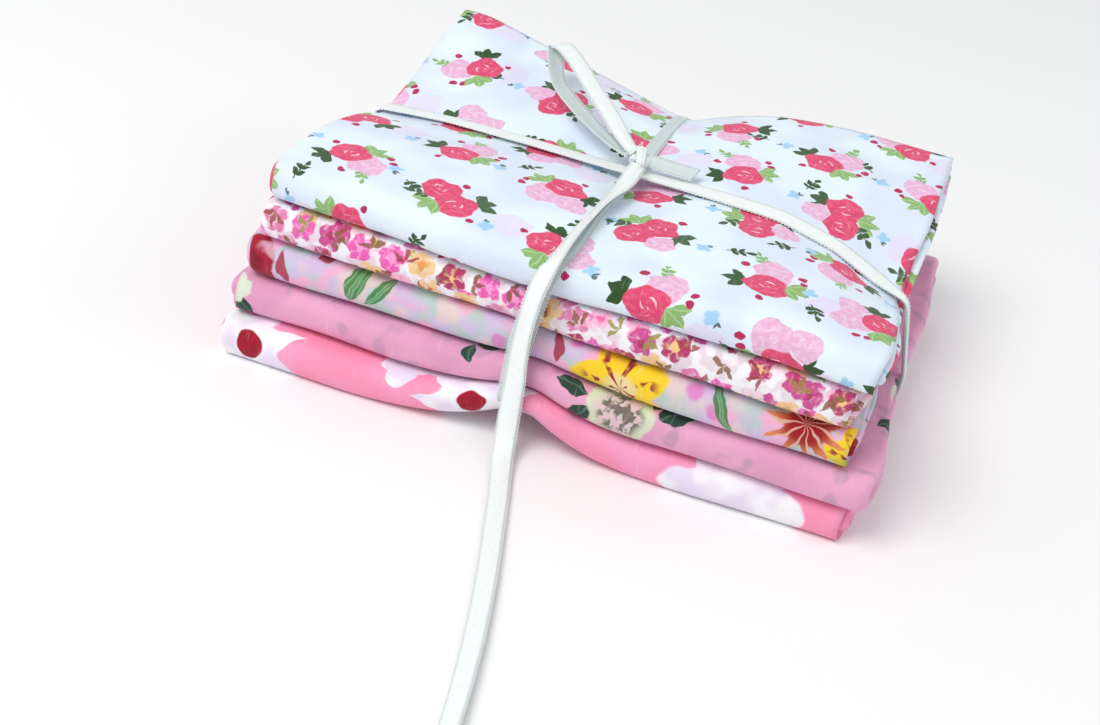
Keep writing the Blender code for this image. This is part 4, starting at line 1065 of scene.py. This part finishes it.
def rounded_offset(hull, radius):
    """The hull moved outward by a radius, with its corners as arcs and its sides parted evenly."""
    outline = []
    count = len(hull)
    for index, (x, y) in enumerate(hull):
        before = hull[index - 1]
        after = hull[(index + 1) % count]
        start = atan2(y - before[1], x - before[0]) - pi / 2
        end = atan2(after[1] - y, after[0] - x) - pi / 2
        while end < start:
            end += 2 * pi
        steps = max(1, round((end - start) / radians(10)))
        for step in range(steps + 1):
            angle = start + (end - start) * step / steps
            outline.append((x + radius * cos(angle), y + radius * sin(angle)))
    line = np.array(outline + outline[:1])
    along = lengths_along(line)
    places = np.linspace(0.0, along[-1], int(along[-1] / 0.0011), endpoint=False)
    return np.stack([np.interp(places, along, line[:, axis]) for axis in range(2)], axis=1)


def aside(rows, at):
    """Value of a table of places, eased between its rows."""
    places = np.array([row.at for row in rows])
    values = np.array([row.x for row in rows])
    return np.interp(at, places, values)


def across_line(y, z):
    """Place along X of the run across, at places along Y and heights in metres."""
    y, z = y / MM, z / MM
    height = np.clip(z / 44.0, 0.0, 1.0)
    level = aside(ACROSS_TOP, y) * height + aside(ACROSS_UNDER, y) * (1.0 - height)
    front = np.clip((-51.0 - y) / 5.0, 0.0, 1.0)
    return (level * (1.0 - front) + aside(ACROSS_FRONT, z) * front) * MM


def cloth_skin(sizes, across, beside):
    """Points of the tied stack's skin under one of the ribbon's runs, in that run's own plane."""
    points = []
    for index, quarter in enumerate(QUARTERS):
        middle = quarter_base(index) + QUARTER_HEIGHT / 2
        half = QUARTER_HEIGHT / 2 * sizes.loft
        low, high = max(0.0, middle - half), middle + half
        if across:
            rounding = FRONT_FOLD_DEPTH + PASS_THICKNESS / 2
            angle = np.linspace(0.0, pi, 25)
            power = 2.0 / FRONT_FOLD_ROUNDNESS
            front_y = -FOLDED_WIDTH / 2 + rounding - rounding * np.sin(angle) ** power
            front_z = middle + half * np.abs(np.cos(angle)) ** power * np.sign(np.cos(angle))
            level_y = np.linspace(-FOLDED_WIDTH / 2 + rounding, FOLDED_WIDTH / 2, 60)
            y = np.concatenate([front_y, level_y, level_y])
            z = np.concatenate([front_z, np.full(60, low), np.full(60, high)])
            x = across_line(y, z) + beside
            front_share = np.maximum(0.0, -y / (FOLDED_WIDTH / 2)) ** WAVE_EDGE_POWER
            y = y + wave(quarter, x) * front_share + radians(quarter.turn) * x - quarter.forward
        else:
            x = np.tile(np.linspace(quarter.left + 0.0004, quarter.right - 0.0004, 60), 2)
            y = along_line(x) + beside
            z = np.concatenate([np.full(60, low), np.full(60, high)])
        settled = settle(x, y, np.maximum(z, 0.0))
        points += [(point[1] if across else point[0], point[2]) for point in settled.tolist()]
    return points


def along_line(x):
    """Place along Y of the run along, at places along X in metres."""
    return long_run_y(x) + aside(ALONG_SHIFT, x / MM) * MM


def ribbon_sheet(centres, sides, sizes, closed, shares, crown):
    """Grid of points of a ribbon along its centre line, gathered by shares and crowned across."""
    across = np.linspace(-0.5, 0.5, 9)
    ahead = np.gradient(centres, axis=0)
    if closed:
        ahead = (np.roll(centres, -1, axis=0) - np.roll(centres, 1, axis=0)) / 2
    ahead /= np.linalg.norm(ahead, axis=1)[:, None]
    sides = sides - ahead * np.sum(sides * ahead, axis=1)[:, None]
    sides /= np.linalg.norm(sides, axis=1)[:, None]
    out = np.cross(sides, ahead)
    gathered = 1.0 - shares
    arch = crown * (1.0 + 2.0 * gathered[:, None]) * (1.0 - (2 * across[None, :]) ** 2)
    pleats = 0.0007 * gathered[:, None] * np.cos(across[None, :] * 4 * pi)
    points = (centres[:, None, :] + sides[:, None, :] * (sizes.width * shares[:, None] * across[None, :])[:, :, None]
              + out[:, None, :] * (arch + pleats)[:, :, None])
    return points, ahead


def ribbon_object(name, points, sizes, closed, material):
    """A ribbon's grid as a thin solid with its flat place as its UV map, the dull back, painted darker as shade, set
    apart.
    """
    vertices, faces = shell(points, sizes.thickness, closed)
    flat = ribbon_places(points, sizes)
    return mesh_object(name, vertices, faces, flat, material)


def ribbon_places(points, sizes):
    """Places on the flat ribbon of a grid's bright side and then of its dull back, which the satin paints darker as
    shade.
    """
    along = lengths_along(points[:, points.shape[1] // 2])
    width = (np.linspace(-0.5, 0.5, points.shape[1]) * sizes.width)
    flat = np.stack(np.broadcast_arrays(width[None, :], along[:, None]), axis=-1).reshape(-1, 2)
    return np.concatenate([flat, flat + np.array([BACK_PLACE * MM, 0.0])])


def picot_tree(sizes, material):
    """Geometry nodes that set small thread loops side by side along a ribbon's edges."""
    tree = bpy.data.node_groups.new("picot_edge", "GeometryNodeTree")
    entry, leave = "INPUT", "OUTPUT"
    tree.interface.new_socket("Edges", in_out=entry, socket_type="NodeSocketGeometry")
    for name in ("Spacing", "Radius", "Thread"):
        tree.interface.new_socket(name, in_out=entry, socket_type="NodeSocketFloat")
    tree.interface.new_socket("Picots", in_out=leave, socket_type="NodeSocketGeometry")
    made = {}

    def node(key, kind, settings, **links):
        made[key] = tree.nodes.new(kind)
        for name, value in settings.items():
            setattr(made[key], name, value)
        for name, source in links.items():
            socket = made[key].inputs[name.replace("_", " ")]
            if isinstance(source, tuple):
                tree.links.new(made[source[0]].outputs[source[1]], socket)
            else:
                socket.default_value = source
        return made[key]

    node("in", "NodeGroupInput", {})
    node("curve", "GeometryNodeMeshToCurve", {}, Mesh=("in", "Edges"))
    node("spaced", "GeometryNodeResampleCurve", {"mode": "LENGTH"}, Curve=("curve", "Curve"),
         Length=("in", "Spacing"))
    node("points", "GeometryNodeCurveToPoints", {"mode": "EVALUATED"}, Curve=("spaced", "Curve"))
    node("outward", "GeometryNodeInputNamedAttribute", {"data_type": "FLOAT_VECTOR"}, Name="outward")
    node("along", "FunctionNodeAlignRotationToVector", {"axis": "X"}, Vector=("points", "Tangent"))
    node("turned", "FunctionNodeAlignRotationToVector", {"axis": "Y", "pivot_axis": "X"},
         Rotation=("along", "Rotation"), Vector=("outward", "Attribute"))
    node("arc", "GeometryNodeCurveArc", {"mode": "RADIUS"}, Resolution=6, Radius=("in", "Radius"),
         Start_Angle=radians(-15), Sweep_Angle=radians(210))
    node("half", "ShaderNodeMath", {"operation": "MULTIPLY"})
    tree.links.new(made["in"].outputs["Thread"], made["half"].inputs[0])
    made["half"].inputs[1].default_value = 0.5
    node("round", "GeometryNodeCurvePrimitiveCircle", {"mode": "RADIUS"}, Resolution=4,
         Radius=("half", "Value"))
    node("loop", "GeometryNodeCurveToMesh", {}, Curve=("arc", "Curve"), Profile_Curve=("round", "Curve"),
         Fill_Caps=True)
    node("many", "GeometryNodeInstanceOnPoints", {}, Points=("points", "Points"),
         Instance=("loop", "Mesh"), Rotation=("turned", "Rotation"))
    node("real", "GeometryNodeRealizeInstances", {}, Geometry=("many", "Instances"))
    node("dyed", "GeometryNodeSetMaterial", {}, Geometry=("real", "Geometry"), Material=material)
    node("out", "NodeGroupOutput", {}, Picots=("dyed", "Geometry"))
    return tree


def picots(name, points, sizes, closed, material):
    """The picot loops along both edges of a ribbon's grid, as one mesh."""
    tree = bpy.data.node_groups.get("picot_edge") or picot_tree(sizes, material)
    vertices, edges, outward = [], [], []
    for edge, inside in ((0, 1), (-1, -2)):
        first = len(vertices)
        line = points[:, edge]
        away = line - points[:, inside]
        away /= np.linalg.norm(away, axis=1)[:, None]
        vertices += line.tolist()
        outward += away.tolist()
        edges += [(first + step, first + step + 1) for step in range(len(line) - 1)]
        if closed:
            edges.append((first + len(line) - 1, first))
    mesh = bpy.data.meshes.new(name)
    mesh.from_pydata(vertices, edges, [])
    attribute = mesh.attributes.new("outward", "FLOAT_VECTOR", "POINT")
    attribute.data.foreach_set("vector", np.array(outward, dtype=np.float32).ravel())
    lines = bpy.data.objects.new(name + "_lines", mesh)
    bpy.context.scene.collection.objects.link(lines)
    modifier = lines.modifiers.new("Picots", "NODES")
    modifier.node_group = tree
    values = {"Spacing": sizes.picot_spacing, "Radius": sizes.picot_radius, "Thread": sizes.picot_thread}
    for item in tree.interface.items_tree:
        if item.item_type == "SOCKET" and item.name in values:
            modifier[item.identifier] = values[item.name]
    bpy.context.view_layer.update()
    plain = bpy.data.meshes.new_from_object(lines.evaluated_get(bpy.context.evaluated_depsgraph_get()))
    lines.modifiers.clear()
    bpy.data.objects.remove(lines)
    plain.name = name
    fill = plain.uv_layers.new(name="cloth")
    corners = np.empty(len(plain.loops), dtype=np.int64)
    plain.loops.foreach_get("vertex_index", corners)
    places = np.empty(len(plain.vertices) * 3)
    plain.vertices.foreach_get("co", places)
    fill.data.foreach_set("uv", places.reshape(-1, 3)[corners][:, :2].astype(np.float32).ravel())
    plain.shade_smooth()
    made = bpy.data.objects.new(name, plain)
    bpy.context.scene.collection.objects.link(made)
    return made


def routed(rows, steps=8):
    """Centre points, side directions and shares of a smooth curve through a route's rows."""
    data = np.array(rows, dtype=float)
    padded = np.vstack([data[:1], data, data[-1:]])
    smooth = []
    for index in range(len(rows) - 1):
        a, b, c, d = padded[index:index + 4]
        for step in range(steps):
            t = step / steps
            smooth.append(0.5 * (2 * b + (c - a) * t + (2 * a - 5 * b + 4 * c - d) * t * t
                                 + (3 * b - a - 3 * c + d) * t ** 3))
    smooth.append(data[-1])
    smooth = np.array(smooth)
    centres = smooth[:, :3] * MM - np.array([BOX_MIDDLE_X, BOX_MIDDLE_Y, 0.0])
    return centres, smooth[:, 3:6], smooth[:, 6]


def loose_end(name, rows, slant, sizes, material):
    """A loose end of the ribbon with its picot edges; slant cuts its far end at an angle."""
    centres, sides, shares = routed(rows)
    points, ahead = ribbon_sheet(centres, sides, sizes, False, shares, 0.00030)
    cut = np.linspace(-0.5, 0.5, points.shape[1]) * slant
    points[-1] += ahead[-1] * cut[:, None]
    points[-2] += ahead[-2] * cut[:, None] * 0.5
    strip = ribbon_object(name, points, sizes, False, material)
    trim = picots(name + "_picots", points, sizes, False, material)
    return strip, trim, centres


def wrap_run(name, centres, sides, shares, sizes, material):
    """A closed run of the ribbon round the stack, with its picot edges."""
    points, ahead = ribbon_sheet(centres, sides, sizes, True, shares, 0.00012)
    strip = ribbon_object(name, points, sizes, True, material)
    trim = picots(name + "_picots", points, sizes, True, material)
    return strip, trim


def outward_sides(centres, sides):
    """The side directions of a closed run, turned so that its bright side faces outward."""
    ahead = np.roll(centres, -1, axis=0) - centres
    away = np.cross(sides[0], ahead[0])
    middle = centres.mean(axis=0)
    return sides if np.dot(away, centres[0] - middle) > 0 else -sides


def softened(centres, rounds):
    """Closed run with its small kinks eased."""
    for repeat in range(rounds):
        centres = centres * 0.5 + (np.roll(centres, 1, axis=0) + np.roll(centres, -1, axis=0)) * 0.25
    return centres


def settings():
    """The scene's settings for this part."""
    return bpy.context.scene.tied_quarters


class TIEDQUARTERS_OT_quarters(Operator):
    """Fold and stack the five printed fat quarters"""

    bl_idname = "tied_quarters.quarters"
    bl_label = "Fold Quarters"

    def execute(self, context):
        sizes = settings().cloth
        thread = sizes.thread / MM
        made = []
        for index, (quarter, finish) in enumerate(zip(QUARTERS, PRINTS)):
            made.append(build_quarter(index, quarter, sizes, finish(quarter, thread)))
        for index, (quarter, piece) in enumerate(zip(QUARTERS, made)):
            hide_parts(quarter.name)
            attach(piece, BODY)
        return {"FINISHED"}


class TIEDQUARTERS_OT_wraps(Operator):
    """Lay the two closed runs of the ribbon round the stack"""

    bl_idname = "tied_quarters.wraps"
    bl_label = "Tie Ribbon Round"

    def execute(self, context):
        sizes = settings().ribbon
        cloth = settings().cloth
        satin = ribbon_material()
        offset = sizes.thickness / 2 + 0.00022
        skin = cloth_skin(cloth, False, -0.0020) + cloth_skin(cloth, False, 0.0020)
        outline = rounded_offset(hull_of(skin), offset + 0.0003)
        y = along_line(outline[:, 0] + BOX_MIDDLE_X) - BOX_MIDDLE_Y
        long_run = softened(np.stack([outline[:, 0], y, outline[:, 1]], axis=1), 3)
        lean = aside(ALONG_LEAN, long_run[:, 0] / MM) * np.clip(long_run[:, 2] / 0.010 - 2.5, 0.0, 1.0)
        sides = np.stack([np.full(len(lean), -LONG_RUN_SLOPE), np.ones(len(lean)), lean], axis=1)
        over = np.clip((long_run[:, 0] - 0.062) / 0.008, 0.0, 1.0) * np.clip((long_run[:, 2] - 0.004) / 0.006, 0.0, 1.0)
        shares = 1.0 - 0.55 * over
        pieces = wrap_run("ribbon_along", long_run, outward_sides(long_run, sides), shares, sizes, satin)
        declare_trim(pieces, "ribbon_wrap_long")

        skin = [point for beside in (-0.0022, 0.0, 0.0022) for point in cloth_skin(cloth, True, beside)]
        crossing_y = along_line(across_line(np.array(0.0), np.array(0.045))) - BOX_MIDDLE_Y
        near = np.abs(long_run[:, 0] - ACROSS_TOP[7].x * MM) < 0.0030
        top = long_run[near][:, 2].max() + sizes.thickness / 2
        skin += [(float(crossing_y) + place, top) for place in (-0.0027, 0.0027)]
        outline = rounded_offset(hull_of(skin), offset)
        run_y, run_z = outline[:, 0] + BOX_MIDDLE_Y, outline[:, 1]
        x = across_line(run_y, run_z) - BOX_MIDDLE_X
        short_run = softened(np.stack([x, outline[:, 0], outline[:, 1]], axis=1), 12)
        shares = np.where(run_z > 0.030, aside(ACROSS_SHARE, run_y / MM), 1.0)
        sides = -outward_sides(short_run, np.tile([1.0, 0.0, 0.0], (len(short_run), 1)))
        pieces = wrap_run("ribbon_across", short_run, sides, shares, sizes, satin)
        declare_trim(pieces, "ribbon_wrap_short")
        return {"FINISHED"}


def ribbon_material():
    """The satin, made once."""
    return bpy.data.materials.get("picot_satin") or satin_finish(tuple(settings().ribbon.colour))


def declare_trim(pieces, *nodes):
    """Make ribbon pieces ride with the stack and stand for the nodes."""
    for piece in pieces:
        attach(piece, BODY)
    if nodes:
        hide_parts(*nodes)


class TIEDQUARTERS_OT_bow(Operator):
    """Lay the bow's loop and its two tails"""

    bl_idname = "tied_quarters.bow"
    bl_label = "Lay Bow"

    def execute(self, context):
        sizes = settings().ribbon
        satin = ribbon_material()
        loop, loop_trim, loop_line = loose_end("bow_loop_satin", LOOP_ROUTE, 0.0, sizes, satin)
        short, short_trim, short_line = loose_end(
            "short_tail_satin", SHORT_TAIL_ROUTE, SHORT_TAIL_SLANT, sizes, satin)
        tail, tail_trim, tail_line = loose_end(
            "long_tail_satin", LONG_TAIL_ROUTE, LONG_TAIL_SLANT, sizes, satin)
        declare_trim((loop, loop_trim), "bow_loop")
        declare_trim((short, short_trim), "short_tail")
        declare_trim((tail, tail_trim), "long_tail")
        return {"FINISHED"}


def knot_turn(turn, count=64):
    """Grid of one turn of ribbon in the knot, pleated across its narrowed width."""
    angles = np.linspace(0.0, 2 * pi, count, endpoint=False)
    power = 2.0 / 2.6
    first = turn.reach * np.abs(np.cos(angles)) ** power * np.sign(np.cos(angles))
    second = turn.height * np.abs(np.sin(angles)) ** power * np.sign(np.sin(angles))
    forward = np.array([turn.ahead_x, turn.ahead_y, 0.0])
    forward /= np.linalg.norm(forward)
    up = np.array([0.0, 0.0, 1.0])
    side = np.cross(up, forward)
    lean = side * cos(turn.lean) + up * sin(turn.lean)
    centre = np.array([turn.x, turn.y, turn.z])
    spine = centre + forward[None, :] * first[:, None] + up[None, :] * second[:, None]
    outward = forward[None, :] * np.cos(angles)[:, None] + up[None, :] * np.sin(angles)[:, None]
    across = np.linspace(-0.5, 0.5, 15)
    width = turn.width * (1.0 - turn.taper * (0.5 - 0.5 * first / turn.reach))
    pleats = 0.13 * np.cos(across * 2 * pi * 2.5) - 0.9 * (2 * across) ** 4
    points = (spine[:, None, :] + lean[None, None, :] * (width[:, None] * across[None, :])[:, :, None]
              + outward[:, None, :] * pleats[None, :, None])
    return points * MM - np.array([BOX_MIDDLE_X, BOX_MIDDLE_Y, 0.0])


class TIEDQUARTERS_OT_knot(Operator):
    """Wind the small knot on the crossing"""

    bl_idname = "tied_quarters.knot"
    bl_label = "Wind Knot"

    def execute(self, context):
        sizes = settings().ribbon
        satin = ribbon_material()
        vertices, faces, places = [], [], []
        first = 0
        for turn in KNOT_TURNS:
            grid = knot_turn(turn)
            corner, quads = shell(grid, sizes.thickness, True)
            vertices.append(corner)
            faces.append(quads + first)
            places.append(ribbon_places(grid, sizes))
            first += len(corner)
        knot = mesh_object("knot_satin", np.concatenate(vertices), np.concatenate(faces),
                           np.concatenate(places), satin)
        declare_trim((knot,), "bow_knot")
        return {"FINISHED"}


class TIEDQUARTERS_OT_stage(Operator):
    """Set the pale floor, the soft lights and the camera"""

    bl_idname = "tied_quarters.stage"
    bl_label = "Set Stage"

    def execute(self, context):
        stage = settings().stage
        floor_mesh = bpy.data.meshes.new("floor")
        board = bmesh.new()
        bmesh.ops.create_grid(board, x_segments=2, y_segments=2, size=3.0)
        board.to_mesh(floor_mesh)
        board.free()
        floor = bpy.data.objects.new("floor", floor_mesh)
        context.scene.collection.objects.link(floor)
        floor_mesh.materials.append(floor_finish(stage.floor_colour))

        world = bpy.data.worlds.new("pale_surround")
        world.use_nodes = True
        shade = world.node_tree.nodes["Background"]
        shade.inputs["Color"].default_value = (0.97, 0.985, 1.0, 1.0)
        shade.inputs["Strength"].default_value = stage.surround
        context.scene.world = world
        context.scene.view_settings.view_transform = "Standard"
        lights = (
            ("key", (-0.34, -0.50, 0.92), 0.6, stage.key_power, (1.0, 0.99, 0.97)),
            ("fill", (0.75, 0.25, 0.55), 0.6, stage.fill_power, (0.95, 0.97, 1.0)),
        )
        for name, place, size, power, colour in lights:
            lamp = bpy.data.lights.new(name, "AREA")
            lamp.shape = "DISK"
            lamp.size = size
            lamp.energy = power
            lamp.color = colour
            holder = bpy.data.objects.new(name, lamp)
            holder.location = place
            aim = Vector((0.0, 0.0, 0.02)) - Vector(place)
            holder.rotation_euler = aim.to_track_quat("-Z", "Y").to_euler()
            context.scene.collection.objects.link(holder)

        view = bpy.data.cameras.new("camera")
        view.lens = stage.lens
        view.sensor_width = 36.0
        view.clip_start = 0.01
        view.clip_end = 20.0
        camera = bpy.data.objects.new("camera", view)
        back = Vector((sin(CAMERA_AZIMUTH) * cos(CAMERA_ELEVATION),
                       -cos(CAMERA_AZIMUTH) * cos(CAMERA_ELEVATION), sin(CAMERA_ELEVATION)))
        right = (-back).cross(Vector((0.0, 0.0, 1.0))).normalized()
        up = right.cross(-back)
        across = right * cos(CAMERA_ROLL) + up * sin(CAMERA_ROLL)
        above = up * cos(CAMERA_ROLL) - right * sin(CAMERA_ROLL)
        turn = Matrix((across, above, back)).transposed().to_4x4()
        camera.matrix_world = Matrix.Translation(CAMERA_PLACE) @ turn
        context.scene.collection.objects.link(camera)
        context.scene.camera = camera
        return {"FINISHED"}


class TiedQuartersSettings(PropertyGroup):
    """All settings of the tied stack."""

    cloth: PointerProperty(type=ClothSizes, name="Cloth", description="Sizes of the cloth")
    ribbon: PointerProperty(type=RibbonSizes, name="Ribbon", description="Sizes of the ribbon")
    stage: PointerProperty(type=StageSizes, name="Stage", description="Camera, lights and floor")


class TIEDQUARTERS_PT_panel(Panel):
    """Sizes, colours and steps of the tied stack."""

    bl_idname = "TIEDQUARTERS_PT_panel"
    bl_label = "Tied Fat Quarters"
    bl_space_type = "VIEW_3D"
    bl_region_type = "UI"
    bl_category = "Fat Quarters"

    def draw(self, context):
        for group in (settings().cloth, settings().ribbon, settings().stage):
            box = self.layout.box()
            for name in group.bl_rna.properties.keys():
                if name not in ("rna_type", "name"):
                    box.prop(group, name)
        for step in STEPS:
            self.layout.operator(step)


STEPS = ("tied_quarters.stage", "tied_quarters.quarters", "tied_quarters.wraps", "tied_quarters.bow",
         "tied_quarters.knot")
CLASSES = (
    ClothSizes, RibbonSizes, StageSizes, TiedQuartersSettings, TIEDQUARTERS_OT_stage,
    TIEDQUARTERS_OT_quarters, TIEDQUARTERS_OT_wraps, TIEDQUARTERS_OT_bow, TIEDQUARTERS_OT_knot,
    TIEDQUARTERS_PT_panel,
)


def register():
    """Make the classes and the settings known."""
    for item in CLASSES:
        bpy.utils.register_class(item)
    bpy.types.Scene.tied_quarters = PointerProperty(type=TiedQuartersSettings)


def unregister():
    """Take the classes and the settings back."""
    del bpy.types.Scene.tied_quarters
    for item in reversed(CLASSES):
        bpy.utils.unregister_class(item)


def main():
    """Build the whole part."""
    register()
    bpy.ops.tied_quarters.stage()
    bpy.ops.tied_quarters.quarters()
    bpy.ops.tied_quarters.wraps()
    bpy.ops.tied_quarters.bow()
    bpy.ops.tied_quarters.knot()


if __name__ == "__main__":
    main()
